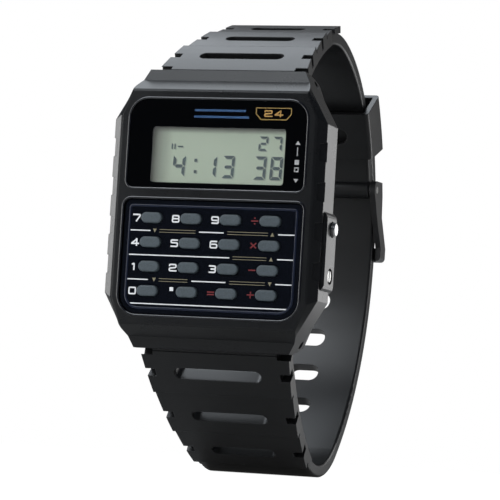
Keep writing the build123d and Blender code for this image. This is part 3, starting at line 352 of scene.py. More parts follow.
key_rubber = rubber("key_rubber", (0.056, 0.074, 0.086), 0.13, 0.42)
membrane_rubber = rubber("membrane_rubber", (0.35, 0.36, 0.37), 0.3, 0.6)
gasket_rubber = rubber("gasket_rubber", (0.02, 0.02, 0.02), 0.2, 0.55)


def striped_rubber(name):
    """The display's connector: thin dark conducting layers in pale rubber."""
    finish = Finish(name)
    layers = finish.node(
        "ShaderNodeTexWave",
        {"bands_direction": "X"},
        {"Vector": finish.coordinates, "Scale": 1 / (0.6 * MM), "Distortion": 0.1},
        output="Fac",
    )
    stripes = finish.mix(layers.clamp(0.4, 0.6), (0.5, 0.35, 0.4), (0.05, 0.05, 0.06))
    return finish.surface(Base_Color=stripes, Roughness=0.5 + finish.noise(0.4) * 0.2)


zebra_rubber = striped_rubber("zebra_rubber")

# %% [markdown]
# A reflective display has a grey-green back layer like fine paper, with the
# liquid crystal in front. The layer is dull and very finely grained. The window's
# mask stands a little over it and keeps light off its left and top edges, so the
# colour itself darkens there, over a few millimetres at the left.


# %% The display's reflector
SHADED_LEFT = (-11.0, -7.6)
SHADED_TOP = (-12.45, -11.6)


def reflector(name):
    """Grey-green paper-like reflector behind the liquid crystal."""
    finish = Finish(name)
    fibre = finish.noise(0.12, 4.0)
    broad = finish.noise(6.0, 1.0)
    ground = finish.mix(broad, (0.50, 0.60, 0.45), (0.56, 0.65, 0.50))
    paper = finish.mix(fibre.clamp(0.3, 0.7) * 0.25, ground, (0.42, 0.50, 0.38))
    from_left = finish.axis("X").clamp(*SHADED_LEFT)
    from_top = (finish.axis("Z") * -1).clamp(*SHADED_TOP)
    lit = from_left * from_top
    return finish.surface(
        Base_Color=finish.mix(lit, (0.13, 0.14, 0.11), paper),
        Roughness=0.38 + fibre * 0.15,
        Normal=finish.bump(fibre, 0.004, 0.3),
    )


lcd_glass = reflector("display_reflector")

# %% [markdown]
# Metals take their look from how they were worked. The back is brushed in
# circles, the pushers are turned, the spring parts and the battery can are
# pressed and bright. Stretching a noise in one direction draws brushing;
# reading it by the distance from a centre draws circles.


# %% The metals
def worked_metal(name, colour, rough, stretch, streak_mm, depth_mm=0.002):
    """Metal with fine lines along the stretched direction."""
    finish = Finish(name)
    streaks = finish.noise(streak_mm, 3.0, stretch=stretch)
    stains = finish.noise(4.0, 2.0)
    return finish.surface(
        Base_Color=finish.mix(stains, shade(colour, 0.88), shade(colour, 1.08)),
        Metallic=1.0,
        Roughness=rough + streaks * 0.14,
        Normal=finish.bump(streaks, depth_mm, 0.4, finish.soft_edge(0.08)),
    )


pusher_steel = worked_metal("pusher_steel", (0.62, 0.62, 0.61), 0.2, (0.4, 6, 6), 0.12)
spring_steel = worked_metal("spring_steel", (0.55, 0.55, 0.54), 0.22, (6, 1, 1), 0.15)
battery_steel = worked_metal("battery_steel", (0.6, 0.6, 0.58), 0.18, (1, 1, 5), 0.2)
brass_plate = worked_metal("brass_plate", (0.6, 0.44, 0.16), 0.25, (1, 1, 3), 0.3)


def circle_brushed(name, colour):
    """Steel brushed in circles round the dial's axis."""
    finish = Finish(name)
    across, along = finish.axis("X"), finish.axis("Z")
    distance = (across * across + along * along) ** 0.5
    rings = finish.node(
        "ShaderNodeTexNoise",
        {"noise_dimensions": "1D"},
        {"W": distance, "Scale": 9.0, "Detail": 4.0},
    )
    return finish.surface(
        Base_Color=finish.mix(rings, shade(colour, 0.82), shade(colour, 1.12)),
        Metallic=1.0,
        Roughness=0.26 + rings * 0.16,
        Normal=finish.bump(rings, 0.006, 0.5, finish.soft_edge(0.1)),
    )


back_steel = circle_brushed("back_steel", (0.56, 0.56, 0.56))

# %% [markdown]
# The buckle is steel under a black coating. Such a coating is satin rather than
# glossy, and it rubs through first on its edges, where the metal glints.


# %% The buckle's coating
def black_coating(name):
    """Black satin coating with faintly rubbed edges."""
    finish = Finish(name)
    rounded = finish.soft_edge(0.12)
    rubbed = finish.edge_mask(rounded) * finish.noise(0.8, 4.0).clamp(0.45, 0.7)
    skin = finish.noise(0.3, 3.0)
    return finish.surface(
        Base_Color=finish.mix(rubbed * 0.35, (0.013, 0.013, 0.014), (0.16, 0.16, 0.16)),
        Roughness=0.3 + skin * 0.1,
        Coat_Weight=0.2,
        Normal=finish.bump(skin, 0.004, 0.3, rounded),
    )


buckle_black = black_coating("buckle_black")

# %% [markdown]
# Nothing inside the case shows while it is closed, but the parts are there for
# anyone who opens the model. The board has green resist over faint copper
# lines, the chips are dull epoxy, and the frame is unpainted plastic.


# %% The parts inside
def solder_resist(name):
    """Green resist with copper lines running under it."""
    finish = Finish(name)
    turned = finish.node(
        "ShaderNodeMapping",
        {},
        {"Vector": finish.coordinates, "Rotation": (pi / 2, 0, 0)},
    )
    lines = finish.node(
        "ShaderNodeTexBrick",
        {"offset": 0.37},
        {"Vector": turned, "Scale": 1 / MM, "Mortar Size": 0.06, "Brick Width": 2.4, "Row Height": 0.8},
        output="Fac",
    )
    return finish.surface(
        Base_Color=finish.mix(lines, (0.015, 0.14, 0.06), (0.05, 0.26, 0.11)),
        Roughness=0.28 + finish.noise(0.5) * 0.12,
        Normal=finish.bump(lines, 0.02, 0.5),
    )


def plain_plastic(name, colour, rough):
    """Moulded plastic with a slight grain."""
    finish = Finish(name)
    grain = finish.noise(0.25, 3.0)
    return finish.surface(
        Base_Color=finish.mix(grain, shade(colour, 0.9), shade(colour, 1.1)),
        Roughness=rough + grain * 0.1,
        Normal=finish.bump(grain, 0.008, 0.3),
    )


board_green = solder_resist("board_green")
chip_black = plain_plastic("chip_black", (0.015, 0.015, 0.017), 0.45)
frame_natural = plain_plastic("frame_natural", (0.5, 0.5, 0.47), 0.4)

# %% [markdown]
# Each solid of the model carries the name of its finish in the record, so the
# solids are dressed in one loop. Assigning to the object's slot changes no
# mesh.

# %% Dress the solids
FINISHES = {
    "case_resin": case_resin,
    "strap_resin": strap_resin,
    "window_glass": window_glass,
    "mask_print": mask_print,
    "keypad_black": keypad_black,
    "key_rubber": key_rubber,
    "membrane_rubber": membrane_rubber,
    "lcd_glass": lcd_glass,
    "zebra_rubber": zebra_rubber,
    "board_green": board_green,
    "chip_black": chip_black,
    "frame_natural": frame_natural,
    "battery_steel": battery_steel,
    "spring_steel": spring_steel,
    "brass_plate": brass_plate,
    "back_steel": back_steel,
    "gasket_rubber": gasket_rubber,
    "pusher_steel": pusher_steel,
    "buckle_black": buckle_black,
}
slot_of_node = {row["node"]: row["material_slot"] for row in frame["record"]["subparts"]}
for name, solid in frame["nodes"].items():
    finish = FINISHES[slot_of_node[name]]
    for index in range(len(solid.data.materials)):
        solid.material_slots[index].link = "OBJECT"
        solid.material_slots[index].material = finish
print("dressed", len(frame["nodes"]), "solids")

# %% [markdown]
# The keypad's numbers and lines are printed. A print is a film of ink with an
# even stroke, so each sign is drawn as a line down the middle of its stroke and
# turned into a thin closed ribbon with square-cut ends and true corners. That
# gives clean edges at any zoom, which a picture texture would not.


# %% Ribbons of ink
INK_THICKNESS = 0.016
INK_SINK = 0.004
LAYER_STEP = 0.0004
LAYER_COUNT = 6
SHARPEST_MITRE = 0.45


def rounded_path(points, radius, closed=False, steps=5):
    """A line's points with every corner turned into a short arc."""
    count = len(points)
    path = []
    for index, point in enumerate(points):
        if not closed and index in (0, count - 1):
            path.append(point)
            continue
        corner = Vector(point)
        before = Vector(points[index - 1]) - corner
        after = Vector(points[(index + 1) % count]) - corner
        reach = min(radius, before.length / 2, after.length / 2)
        start, end = corner + before.normalized() * reach, corner + after.normalized() * reach
        for step in range(steps + 1):
            t = step / steps
            curve = start * (1 - t) ** 2 + corner * 2 * t * (1 - t) + end * t**2
            path.append(tuple(curve))
    return path


def ribbon_sides(path, width, closed):
    """The left and right edges of a stroke, mitred at its corners."""
    points = [Vector(point) for point in path]
    count = len(points)
    left, right = [], []
    for index, point in enumerate(points):
        before = points[index - 1] if closed or index else None
        after = points[(index + 1) % count] if closed or index < count - 1 else None
        ahead = (after - point).normalized() if after is not None else (point - before).normalized()
        behind = (point - before).normalized() if before is not None else ahead
        across_ahead = Vector((-ahead.y, ahead.x))
        across = (across_ahead + Vector((-behind.y, behind.x))).normalized()
        reach = width / 2 / max(SHARPEST_MITRE, across.dot(across_ahead))
        left.append(point + across * reach)
        right.append(point - across * reach)
    return left, right


def dial_place(x, z, height):
    """A point over the dial, given in mm, as a place in metres."""
    return Vector((x, -height, z)) * MM


class Print:
    """Closed ribbons and plates of ink at one height over the dial, in one mesh."""

    def __init__(self, height):
        self.height = height
        self.vertices = []
        self.faces = []
        self.layers = 0

    def plate(self, outline):
        """A flat plate of ink with this outline, counter-clockwise as the wearer sees it."""
        count, base = len(outline), len(self.vertices)
        top = self.height + INK_THICKNESS + self.layers * LAYER_STEP
        self.layers = (self.layers + 1) % LAYER_COUNT
        for level in (self.height - INK_SINK, top):
            self.vertices += [dial_place(x, z, level) for x, z in outline]
        self.faces.append([base + count + index for index in range(count)])
        self.faces.append([base + index for index in reversed(range(count))])
        for index in range(count):
            after = (index + 1) % count
            self.faces.append([base + index, base + after, base + count + after, base + count + index])

    def stroke(self, points, width, radius=0.0, closed=False):
        """A ribbon along a line, with its corners rounded."""
        path = rounded_path(points, radius, closed) if radius else list(points)
        left, right = ribbon_sides(path, width, closed)
        count, base = len(path), len(self.vertices)
        top = self.height + INK_THICKNESS + self.layers * LAYER_STEP
        self.layers = (self.layers + 1) % LAYER_COUNT
        for level in (self.height - INK_SINK, top):
            for side in (left, right):
                self.vertices += [dial_place(point.x, point.y, level) for point in side]
        low_left, low_right, top_left, top_right = (base + count * row for row in range(4))
        for index in range(count if closed else count - 1):
            after = (index + 1) % count
            self.faces += [
                [top_left + index, top_right + index, top_right + after, top_left + after],
                [low_left + index, low_left + after, low_right + after, low_right + index],
                [low_left + index, top_left + index, top_left + after, low_left + after],
                [low_right + index, low_right + after, top_right + after, top_right + index],
            ]
        if not closed:
            last = count - 1
            self.faces.append([low_left, low_right, top_right, top_left])
            self.faces.append([low_left + last, top_left + last, top_right + last, low_right + last])

    def piece(self, name, finish, body="watch"):
        """Makes the print's object, riding on a body of the watch."""
        mesh = bpy.data.meshes.new(name)
        mesh.from_pydata([tuple(vertex) for vertex in self.vertices], [], self.faces)
        mesh.validate()
        mesh.materials.append(finish)
        made = bpy.data.objects.new(name, mesh)
        bpy.context.scene.collection.objects.link(made)
        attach(made, body)
        print(name, "has", len(self.faces), "faces")
        return made


# %% [markdown]
# Printing ink is dull and slightly uneven in cover. The white, the red of the
# arithmetic signs, the beige, the blue, the gold and the orange share one recipe.


# %% The inks
def ink(name, colour, rough=0.42):
    """Screen-printing ink, a little uneven."""
    finish = Finish(name)
    cover = finish.noise(0.35, 3.0)
    return finish.surface(
        Base_Color=finish.mix(cover, shade(colour, 0.86), shade(colour, 1.1)),
        Roughness=rough + cover * 0.12,
    )


white_ink = ink("white_ink", (0.74, 0.75, 0.76))
red_ink = ink("red_ink", (0.17, 0.007, 0.010))
beige_ink = ink("beige_ink", (0.22, 0.195, 0.12))
blue_ink = ink("blue_ink", (0.03, 0.13, 0.34))
gold_ink = ink("gold_ink", (0.62, 0.40, 0.10), 0.38)
orange_ink = ink("orange_ink", (0.82, 0.47, 0.12), 0.38)

# %% [markdown]
# The numbers follow the squarish, wide lettering of old calculators: nearly a
# rectangle with round corners. Each is a few lines on a small grid, from -1 to
# 1 both ways, which is then sized in millimetres.

# %% The numbers and signs
GLYPHS = {
    "0": [([(-1, -1), (1, -1), (1, 1), (-1, 1)], True)],
    "1": [([(-0.62, 0.55), (0.1, 1), (0.1, -1.26)], False)],
    "2": [([(-1, 0.42), (-1, 1), (1, 1), (1, 0.06), (-1, -0.16), (-1, -1), (1.26, -1)], False)],
    "3": [
        ([(-1, 1), (1, 1), (1, 0.02), (-0.45, 0.02)], False),
        ([(-0.45, 0.02), (1, 0.02), (1, -1), (-1, -1)], False),
    ],
    "4": [
        ([(0.45, 1.2), (0.45, -1.26)], False),
        ([(0.5, 1.02), (-1.05, -0.42)], False),
        ([(-1.25, -0.48), (1.26, -0.48)], False),
    ],
    "5": [([(1.15, 1), (-1, 1), (-1, 0.16), (1, 0.16), (1, -1), (-1.1, -1)], False)],
    "6": [([(1.05, 1), (-1, 1), (-1, -1), (1, -1), (1, 0.1), (-0.95, 0.1)], False)],
    "7": [([(-1.2, 1), (1, 1), (1, 0.55), (-0.15, -1.2)], False)],
    "8": [
        ([(-0.95, 0.04), (0.95, 0.04), (0.95, 1), (-0.95, 1)], True),
        ([(-1, -1), (1, -1), (1, 0.04), (-1, 0.04)], True),
    ],
    "9": [([(-1.05, -1), (1, -1), (1, 1), (-1, 1), (-1, -0.1), (0.95, -0.1)], False)],
    "plus": [([(-1, 0), (1, 0)], False), ([(0, -1), (0, 1)], False)],
    "minus": [([(-1, 0), (1, 0)], False)],
    "times": [([(-0.8, -0.8), (0.8, 0.8)], False), ([(-0.8, 0.8), (0.8, -0.8)], False)],
    "divide": [
        ([(-1, 0), (1, 0)], False),
        ([(-0.22, 0.85), (0.22, 0.85)], False),
        ([(-0.22, -0.85), (0.22, -0.85)], False),
    ],
    "equals": [([(-1, 0.38), (1, 0.38)], False), ([(-1, -0.38), (1, -0.38)], False)],
    "point": [([(-0.42, 0), (0.42, 0)], False)],
}


def draw_glyph(paper, glyph, x, z, half_width, half_height, stroke, radius):
    """Draws one glyph centred on a place of the dial."""
    for points, closed in GLYPHS[glyph]:
        placed = [(x + a * half_width, z + b * half_height) for a, b in points]
        paper.stroke(placed, stroke, radius, closed)


# %% [markdown]
# Each key has its sign at its left. The keys' places come from the frame, so
# that the signs stay with them when the watch is made in another size.

# %% Print the keypad's signs
SIGN_OFFSET = 2.53
NUMBER_DROP = 0.06
NUMBER_SIZE = (0.52, 0.48)
NUMBER_STROKE = 0.23
NUMBER_RADIUS = 0.2
SIGN_SIZE = (0.56, 0.5)
SIGN_STROKE = 0.2
POINT_RISE = 0.4
POINT_SIZE = (0.72, 1)
POINT_STROKE = 0.6


def middle(node):
    """The x and z of a solid's middle, in mm."""
    low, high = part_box(node)
    return ((low.x + high.x) / 2 / MM, (low.z + high.z) / 2 / MM)


keypad_face = -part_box("keypad_panel")[0].y / MM
print("the keypad's face is", round(keypad_face, 3), "mm over the datum")
numbers = Print(keypad_face)
for digit in "0123456789":
    key_x, key_z = middle("key_" + digit)
    number_x, number_z = key_x - SIGN_OFFSET, key_z - NUMBER_DROP
    draw_glyph(numbers, digit, number_x, number_z, *NUMBER_SIZE, NUMBER_STROKE, NUMBER_RADIUS)
point_x, point_z = middle("key_point")
draw_glyph(numbers, "point", point_x - SIGN_OFFSET, point_z + POINT_RISE, *POINT_SIZE, POINT_STROKE, 0)
numbers.piece("keypad_numbers", white_ink)

signs = Print(keypad_face)
for sign in ("divide", "times", "minus", "plus", "equals"):
    key_x, key_z = middle("key_" + sign)
    draw_glyph(signs, sign, key_x - SIGN_OFFSET, key_z, *SIGN_SIZE, SIGN_STROKE, 0)
signs.piece("keypad_signs", red_ink)

# %% [markdown]
# Thin white rules part the rows of keys. Each rule is broken by small triangles
# with fine beige lines beside them, which tell the eye that the keys next to
# them have a second use.

# %% Print the rules
RULE_WIDTH = 0.17
RULES = (
    (-3.70, ((-13.5, -9.98), (-2.05, 1.92), (10.64, 13.4))),
    (-7.47, ((-13.5, 3.06), (10.7, 13.45))),
    (-11.24, ((-13.4, -9.9), (-2.8, 2.7), (10.65, 13.5))),
    (-14.95, ((-12.85, 13.0),)),
)
rules = Print(keypad_face)
for rule_z, spans in RULES:
    for start, end in spans:
        rules.stroke([(start, rule_z), (end, rule_z)], RULE_WIDTH)
rules.piece("keypad_rules", white_ink)

LEGEND_WIDTH = 0.08
LEGEND_SPREAD = 0.2
TRIANGLE = 0.3
LEGENDS = (
    (-3.70, -9.27, -1, (-8.5, -2.65)),
    (-3.70, 9.72, 1, (2.5, 9.0)),
    (-7.47, 9.74, 1, (3.6, 9.0)),
    (-11.24, -8.9, -1, (-8.1, -3.45)),
    (-11.24, 9.77, -1, (3.3, 9.0)),
)
legends = Print(keypad_face)
for legend_z, tip_x, way, (start, end) in LEGENDS:
    side = TRIANGLE * way
    foot_z, tip_z = legend_z - side, legend_z + side
    legends.plate([(tip_x - side, foot_z), (tip_x + side, foot_z), (tip_x, tip_z)])
    for offset in (-LEGEND_SPREAD, LEGEND_SPREAD):
        legends.stroke([(start, legend_z + offset), (end, legend_z + offset)], LEGEND_WIDTH)
legends.piece("keypad_legends", beige_ink)

# %% [markdown]
# Both windows have a fine moulded lip, a bead of glossy resin no wider than half
# a millimetre. It is the bead that draws the light lines round the panels. A
# flat ribbon can't do that: a line of light needs a surface that turns, so the
# bead is a rounded section led along the window's outline.

# %% Mould the lips round the windows
LIP_HALF_WIDTH = 0.2
LIP_RISE = 0.13
LIP_DROP = 0.32
LIP_STEPS = 6
PANEL_GAP = 0.06


def window_path(node, grow, low_radius, high_radius, steps=8):
    """The outline of a panel, grown by an amount, with its own corner radii below and above."""
    low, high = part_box(node)
    left, right = low.x / MM - grow, high.x / MM + grow
    bottom, top = low.z / MM - grow, high.z / MM + grow
    corners = (
        (right - low_radius, bottom + low_radius, low_radius, -90),
        (right - high_radius, top - high_radius, high_radius, 0),
        (left + high_radius, top - high_radius, high_radius, 90),
        (left + low_radius, bottom + low_radius, low_radius, 180),
    )
    path = []
    for x, z, radius, first in corners:
        for step in range(steps + 1):
            turned = radians(first + 90 * step / steps)
            path.append((x + radius * cos(turned), z + radius * sin(turned)))
    return path


def lead_section(name, path, section, finish):
    """A closed section led round a closed path; each of its points is (outward, height)."""
    points = [Vector(point) for point in path]
    count, size = len(points), len(section)
    vertices, faces = [], []
    for index, point in enumerate(points):
        ahead = (points[(index + 1) % count] - point).normalized()
        behind = (point - points[index - 1]).normalized()
        outward = (Vector((ahead.y, -ahead.x)) + Vector((behind.y, -behind.x))).normalized()
        reach = 1 / max(0.6, outward.dot(Vector((ahead.y, -ahead.x))))
        for aside, height in section:
            place = point + outward * aside * reach
            vertices.append(dial_place(place.x, place.y, height))
        after = (index + 1) % count
        for row in range(size):
            beside = (row + 1) % size
            here, there = index * size, after * size
            faces.append([here + row, here + beside, there + beside, there + row])
    mesh = bpy.data.meshes.new(name)
    mesh.from_pydata([tuple(vertex) for vertex in vertices], [], faces)
    mesh.validate()
    shape = bmesh.new()
    shape.from_mesh(mesh)
    bmesh.ops.recalc_face_normals(shape, faces=shape.faces)
    shape.to_mesh(mesh)
    shape.free()
    for polygon in mesh.polygons:
        polygon.use_smooth = True
    mesh.materials.append(finish)
    made = bpy.data.objects.new(name, mesh)
    bpy.context.scene.collection.objects.link(made)
    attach(made, "watch")
    print(name, "has", len(faces), "faces")
    return made


lip = Finish("lip_gloss")
lip_tint = lip.noise(3.0)
lip_gloss = lip.surface(
    Base_Color=lip.mix(lip_tint, (0.004, 0.0045, 0.006), (0.007, 0.008, 0.011)),
    Roughness=0.1 + lip_tint * 0.05,
    Coat_Weight=1.0,
    Coat_Roughness=0.06,
)
front_face = -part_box("case_body")[0].y / MM
arch = [
    (LIP_HALF_WIDTH * cos(pi * step / LIP_STEPS), front_face + LIP_RISE * sin(pi * step / LIP_STEPS))
    for step in range(LIP_STEPS + 1)
]
lip_section = arch + [
    (-LIP_HALF_WIDTH, front_face - LIP_DROP),
    (-PANEL_GAP / 2, front_face - LIP_DROP),
    (-PANEL_GAP / 2, front_face - INK_SINK),
    (LIP_HALF_WIDTH, front_face - INK_SINK),
]
lead_section("window_lip", window_path("display_glass", PANEL_GAP, 1.3, 3.0), lip_section, lip_gloss)
lead_section("keypad_lip", window_path("keypad_panel", PANEL_GAP, 3.2, 1.3), lip_section, lip_gloss)

# %% [markdown]
# The keypad's plate has a low ridge a millimetre inside its edge, which shows as
# a blue-black band along the top and the right. It is the same kind of piece as
# the lip, only lower and wider.

# %% Raise the keypad's ridge
RIDGE_INSET = 1.13
RIDGE_HALF_WIDTH = 0.27
RIDGE_RISE = 0.07
ridge_section = [
    (RIDGE_HALF_WIDTH, keypad_face - INK_SINK),
    (RIDGE_HALF_WIDTH * 0.35, keypad_face + RIDGE_RISE),
    (-RIDGE_HALF_WIDTH * 0.35, keypad_face + RIDGE_RISE),
    (-RIDGE_HALF_WIDTH, keypad_face - INK_SINK),
]
ridge = Finish("ridge_navy")
ridge_tint = ridge.noise(2.0)
ridge_navy = ridge.surface(
    Base_Color=ridge.mix(ridge_tint, (0.006, 0.009, 0.020), (0.010, 0.014, 0.030)),
    Roughness=0.16 + ridge_tint * 0.06,
)
lead_section("keypad_ridge", window_path("keypad_panel", -RIDGE_INSET, 2.1, 0.4), ridge_section, ridge_navy)

# %% [markdown]
# The window's print lies behind the clear acrylic, on the black mask. It is
# left plain: coloured stripes, a framed number for the 24-hour clock, and the
# square and block marks that point at the two pushers.

# %% Print the window's mask
mask_face = -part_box("display_mask")[0].y / MM
stripes = Print(mask_face)
stripes.stroke([(-4.16, 15.1), (4.1, 15.1)], 0.34)
stripes.stroke([(-4.19, 14.1), (4.65, 14.1)], 0.34)
stripes.piece("window_blue_stripes", blue_ink)

FRAME_CORNERS = [(5.8, 15.62), (11.42, 15.62), (11.42, 14.7), (10.7, 13.85), (6.6, 13.85), (5.8, 14.7)]
emblem = Print(mask_face)
emblem.stroke(FRAME_CORNERS, 0.14, 0.12, closed=True)
emblem.piece("window_gold_frame", gold_ink)

hours = Print(mask_face)
draw_glyph(hours, "2", 7.75, 14.78, 0.55, 0.42, 0.2, 0.12)
draw_glyph(hours, "4", 9.45, 14.78, 0.55, 0.42, 0.2, 0.12)
hours.piece("window_hour_number", orange_ink)

pointers = Print(mask_face)
pointers.plate([(12.4, 7.06), (13.1, 7.06), (13.1, 7.78), (12.4, 7.78)])
pointers.stroke([(12.48, 6.02), (13.02, 6.02), (13.02, 6.58), (12.48, 6.58)], 0.16, closed=True)
pointers.plate([(12.35, 10.1), (13.15, 10.1), (12.75, 10.7)][::-1])
pointers.plate([(12.35, 4.9), (12.75, 4.3), (13.15, 4.9)][::-1])
pointers.stroke([(12.75, 8.4), (12.75, 9.7)], 0.14)
pointers.piece("window_pusher_marks", white_ink)

# %% [markdown]
# The display's figures are seven bars each, dark teal on the grey-green. A bar
# is a slim plate with mitred ends that leaves a hair's gap to its neighbour, and
# each figure leans a little. The bars are real plates of ink, so they stay
# sharp from any side.

# %% Draw the display's figures
BAR_GAP = 0.07
BARS_OF = {
    "0": "abcdef", "1": "bc", "2": "abged", "3": "abgcd", "4": "fgbc",
    "5": "afgcd", "6": "afgedc", "7": "abc", "8": "abcdefg", "9": "abcdfg",
}


def bar_outlines(width, height, bar):
    """The seven bars of a figure, each an outline with mitred ends, from its low left corner."""
    half, g = height / 2, BAR_GAP
    inner_x, inner_z = width - bar, height - bar
    middle_x = width - bar / 2
    above, below = half + bar / 2, half - bar / 2
    return {
        "a": [(g, height), (bar + g, inner_z), (inner_x - g, inner_z), (width - g, height)],
        "d": [(g, 0), (width - g, 0), (inner_x - g, bar), (bar + g, bar)],
        "f": [(0, height - g), (0, half + g), (bar / 2, half + g), (bar, above + g), (bar, inner_z - g)],
        "b": [
            (width, height - g),
            (inner_x, inner_z - g),
            (inner_x, above + g),
            (middle_x, half + g),
            (width, half + g),
        ],
        "e": [(0, half - g), (0, g), (bar, bar + g), (bar, below - g), (bar / 2, half - g)],
        "c": [(width, half - g), (middle_x, half - g), (inner_x, below - g), (inner_x, bar + g), (width, g)],
        "g": [
            (bar / 2 + g, half),
            (bar + g, below),
            (inner_x - g, below),
            (middle_x - g, half),
            (inner_x - g, above),
            (bar + g, above),
        ],
    }


FIGURE_LEAN = 0.05


def draw_figure(paper, figure, x, z, width, height, bar):
    """Draws one seven-bar figure from its low left corner."""
    outlines = bar_outlines(width, height, bar)
    for name in BARS_OF[figure]:
        paper.plate([(x + a + b * FIGURE_LEAN, z + b) for a, b in outlines[name]])


liquid_crystal = Finish("liquid_crystal_dark")
cloudy = liquid_crystal.noise(0.5, 3.0)
segment_dark = liquid_crystal.surface(
    Base_Color=liquid_crystal.mix(cloudy, (0.012, 0.045, 0.052), (0.024, 0.07, 0.078)),
    Roughness=0.32 + cloudy * 0.1,
)

lcd_face = -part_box("lcd_panel")[0].y / MM
FIGURES = {
    "time": (
        ("4", -7.55, 4.85, 2.0, 3.3, 0.5),
        ("1", -2.45, 4.85, 2.0, 3.3, 0.5),
        ("3", 0.5, 4.8, 1.95, 3.45, 0.48),
    ),
    "seconds": (("3", 5.62, 4.7, 1.95, 3.58, 0.48), ("8", 8.22, 4.7, 1.95, 3.55, 0.48)),
    "day": (("2", 6.2, 9.1, 1.5, 2.25, 0.36), ("7", 8.45, 9.1, 1.5, 2.25, 0.36)),
}
COLON_X = -4.0
COLON_SIZE = 0.48
COLON_HEIGHTS = (5.45, 7.2)
HALF_DAY_WIDTH = 0.2
HALF_DAY_MARKS = (
    ((-7.75, 9.1), (-7.75, 9.95)),
    ((-7.3, 9.1), (-7.3, 9.95)),
    ((-6.85, 9.52), (-5.95, 9.52)),
)


def draw_display(prefix, finish, height, aside, down):
    """All the display's figures, moved by an amount, as pieces of one finish."""
    for name, figures in FIGURES.items():
        paper = Print(height)
        for figure, x, z, *sizes in figures:
            draw_figure(paper, figure, x + aside, z - down, *sizes)
        if name == "time":
            for dot_z in COLON_HEIGHTS:
                low_x, low_z = COLON_X + aside, dot_z - down
                high_x, high_z = low_x + COLON_SIZE, low_z + COLON_SIZE
                paper.plate([(low_x, low_z), (high_x, low_z), (high_x, high_z), (low_x, high_z)])
        paper.piece(prefix + name, finish)
    paper = Print(height)
    for start, end in HALF_DAY_MARKS:
        paper.stroke([(x + aside, z - down) for x, z in (start, end)], HALF_DAY_WIDTH)
    paper.piece(prefix + "half_day_mark", finish)


draw_display("display_", segment_dark, lcd_face, 0, 0)

# %% [markdown]
# The liquid crystal lies in front of its reflector, so each bar throws a faint
# shadow on the paper behind it, a little aside and below. Without it the bars
# look printed on.

# %% Draw the figures' shadows
SHADOW_ASIDE = 0.16
SHADOW_DOWN = 0.14
SHADOW_SINK = 0.008
shadow_tint = Finish("liquid_crystal_shadow")
uneven = shadow_tint.noise(0.4, 2.0)
segment_shadow = shadow_tint.surface(
    Base_Color=shadow_tint.mix(uneven, (0.29, 0.36, 0.28), (0.34, 0.41, 0.32)),
    Roughness=0.5 + uneven * 0.1,
)
draw_display("shadow_", segment_shadow, lcd_face - SHADOW_SINK, SHADOW_ASIDE, SHADOW_DOWN)

# %% [markdown]
# The watch stands alone on white. Its floor is a broad white sheet at the
# strap's lowest point. A camera ray meets mostly plain white there, with a
# share of the lit sheet left in, so that the watch keeps a soft shadow. In a
# reflection the sheet is grey, and darker still in front of the dial, or the
# black gloss would fill with white.

# %% Lay the floor
FLOOR_HALF = 1.6
FLOOR_GAP = 0.02 * MM
SHADOW_SHARE = 0.25
OPEN_FLOOR_LEVEL = 1.22
DIM_FLOOR_START = -70.0
DIM_FLOOR_END = -25.0
DIM_FLOOR_LEVEL = 0.05
GREY_FLOOR_LEVEL = 0.16

floor_z = cad_box[0][2] - FLOOR_GAP
floor_mesh = bpy.data.meshes.new("floor_sheet")
floor_corners = [
    (side_x * FLOOR_HALF, side_y * FLOOR_HALF, floor_z)
    for side_x, side_y in ((-1, -1), (1, -1), (1, 1), (-1, 1))
]
floor_mesh.from_pydata(floor_corners, [], [(0, 1, 2, 3)])
floor = bpy.data.objects.new("floor_sheet", floor_mesh)
bpy.context.scene.collection.objects.link(floor)

sheet = Finish("white_sheet")
seen = sheet.node("ShaderNodeLightPath", {}, {}, output="Is Camera Ray")
mirrored = sheet.node("ShaderNodeLightPath", {}, {}, output="Is Glossy Ray")
passed = sheet.node("ShaderNodeLightPath", {}, {}, output="Is Transmission Ray")
lit = sheet.node("ShaderNodeBsdfPrincipled", {}, {"Base Color": (0.86, 0.86, 0.86), "Roughness": 0.9})
plain = sheet.node("ShaderNodeEmission", {}, {"Color": (1.0, 1.0, 1.0), "Strength": OPEN_FLOOR_LEVEL})
in_front = (sheet.axis("Y") * -1).clamp(DIM_FLOOR_START, DIM_FLOOR_END)
dim = sheet.node("ShaderNodeEmission", {}, {"Color": (1.0, 1.0, 1.0), "Strength": DIM_FLOOR_LEVEL})
grey = sheet.node("ShaderNodeEmission", {}, {"Color": (1.0, 1.0, 1.0), "Strength": GREY_FLOOR_LEVEL})
in_mirror = sheet.node("ShaderNodeMixShader", {}, {0: in_front, 1: grey, 2: dim})
shown = sheet.node("ShaderNodeMixShader", {}, {0: mirrored, 1: plain, 2: in_mirror})
share = seen.math("MAXIMUM", mirrored).math("MAXIMUM", passed) * (1 - SHADOW_SHARE)
floor_mesh.materials.append(sheet.show(sheet.node("ShaderNodeMixShader", {}, {0: share, 1: lit, 2: shown})))
print("floor at", round(floor_z / MM, 2), "mm")

# %% [markdown]
# The room is white to the eye and dim in a reflection, which is how black gloss
# is photographed: what shines on it is then only what a lamp puts there. It is
# a little lighter behind the watch. The direction is the world's own, so every
# view sees one room.

# %% Build the room
ROOM_LIGHT = 0.4
BEHIND_LEVEL = 0.16
DIM_SIDE = (0.040, 0.046, 0.060)
THROUGH_GLASS = 1.35


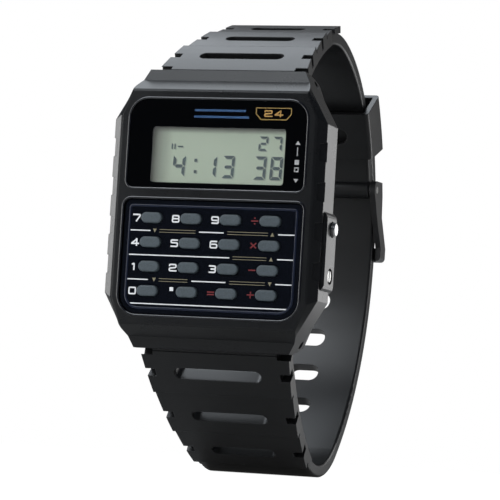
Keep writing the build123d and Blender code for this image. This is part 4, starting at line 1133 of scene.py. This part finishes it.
def build_room():
    """A world that is white to the eye, and dim in front for reflections."""
    world = bpy.data.worlds.new("studio_room")
    world.use_nodes = True
    bpy.context.scene.world = world
    room = Finish.__new__(Finish)
    room.tree = world.node_tree
    room.tree.nodes.clear()
    way = room.node("ShaderNodeTexCoord", {}, {}, output="Generated")
    depth = room.node("ShaderNodeSeparateXYZ", {}, {0: way}, output="Y")
    behind = depth.clamp(0.55, 0.92)
    mirror_view = room.mix(behind, DIM_SIDE, (BEHIND_LEVEL,) * 3)
    for_eye = room.node("ShaderNodeLightPath", {}, {}, output="Is Camera Ray")
    for_mirror = room.node("ShaderNodeLightPath", {}, {}, output="Is Glossy Ray")
    for_glass = room.node("ShaderNodeLightPath", {}, {}, output="Is Transmission Ray")
    indoors = room.mix(for_mirror, (ROOM_LIGHT,) * 3, mirror_view)
    behind_glass = room.mix(for_glass, indoors, (THROUGH_GLASS,) * 3)
    colour = room.mix(for_eye, behind_glass, (1.0, 1.0, 1.0))
    background = room.node("ShaderNodeBackground", {}, {"Color": colour, "Strength": 1.0})
    output = room.tree.nodes.new("ShaderNodeOutputWorld")
    room.tree.links.new(background.socket, output.inputs["Surface"])
    print("room has", len(room.tree.nodes), "nodes")


build_room()

# %% [markdown]
# Five soft lamps light it, each placed where one group of surfaces mirrors it.
# The box overhead greys the strap's upper blocks and the slope above the window.
# The one in front of it greys the hood over the strap's end. A wall and a small
# card at the left light the case's left edge. A card close by at the right
# lights the flank with the pushers, and is too near to light the buckle much.


# %% Hang the lamps
def soft_lamp(name, way, distance, width, height, radiance, colour):
    """A rectangular lamp that looks at the watch, set by how bright its face is."""
    data = bpy.data.lights.new(name, "AREA")
    data.shape = "RECTANGLE"
    data.size, data.size_y = width, height
    data.energy = radiance * pi * width * height
    data.color = colour
    lamp = bpy.data.objects.new(name, data)
    towards = Vector(way).normalized()
    lamp.location = towards * distance
    lamp.rotation_euler = towards.to_track_quat("Z", "Y").to_euler()
    lamp.visible_camera = False
    bpy.context.scene.collection.objects.link(lamp)
    print(name, "gives", round(data.energy, 2), "W")


soft_lamp("overhead_box", (-0.44, 0.27, 0.86), 0.9, 0.85, 0.8, 2.4, (0.88, 0.94, 1.0))
soft_lamp("front_top_box", (-0.36, -0.66, 0.66), 0.9, 0.6, 0.4, 4.4, (0.9, 0.95, 1.0))
soft_lamp("left_wall", (-0.99, 0.12, 0.0), 0.9, 0.55, 0.4, 4.0, (1.0, 1.0, 1.0))
soft_lamp("left_card", (-0.72, -0.69, 0.05), 0.16, 0.05, 0.16, 3.0, (1.0, 1.0, 1.0))
soft_lamp("right_card", (0.555, 0.83, -0.06), 0.094, 0.03, 0.08, 2.4, (1.0, 1.0, 1.0))
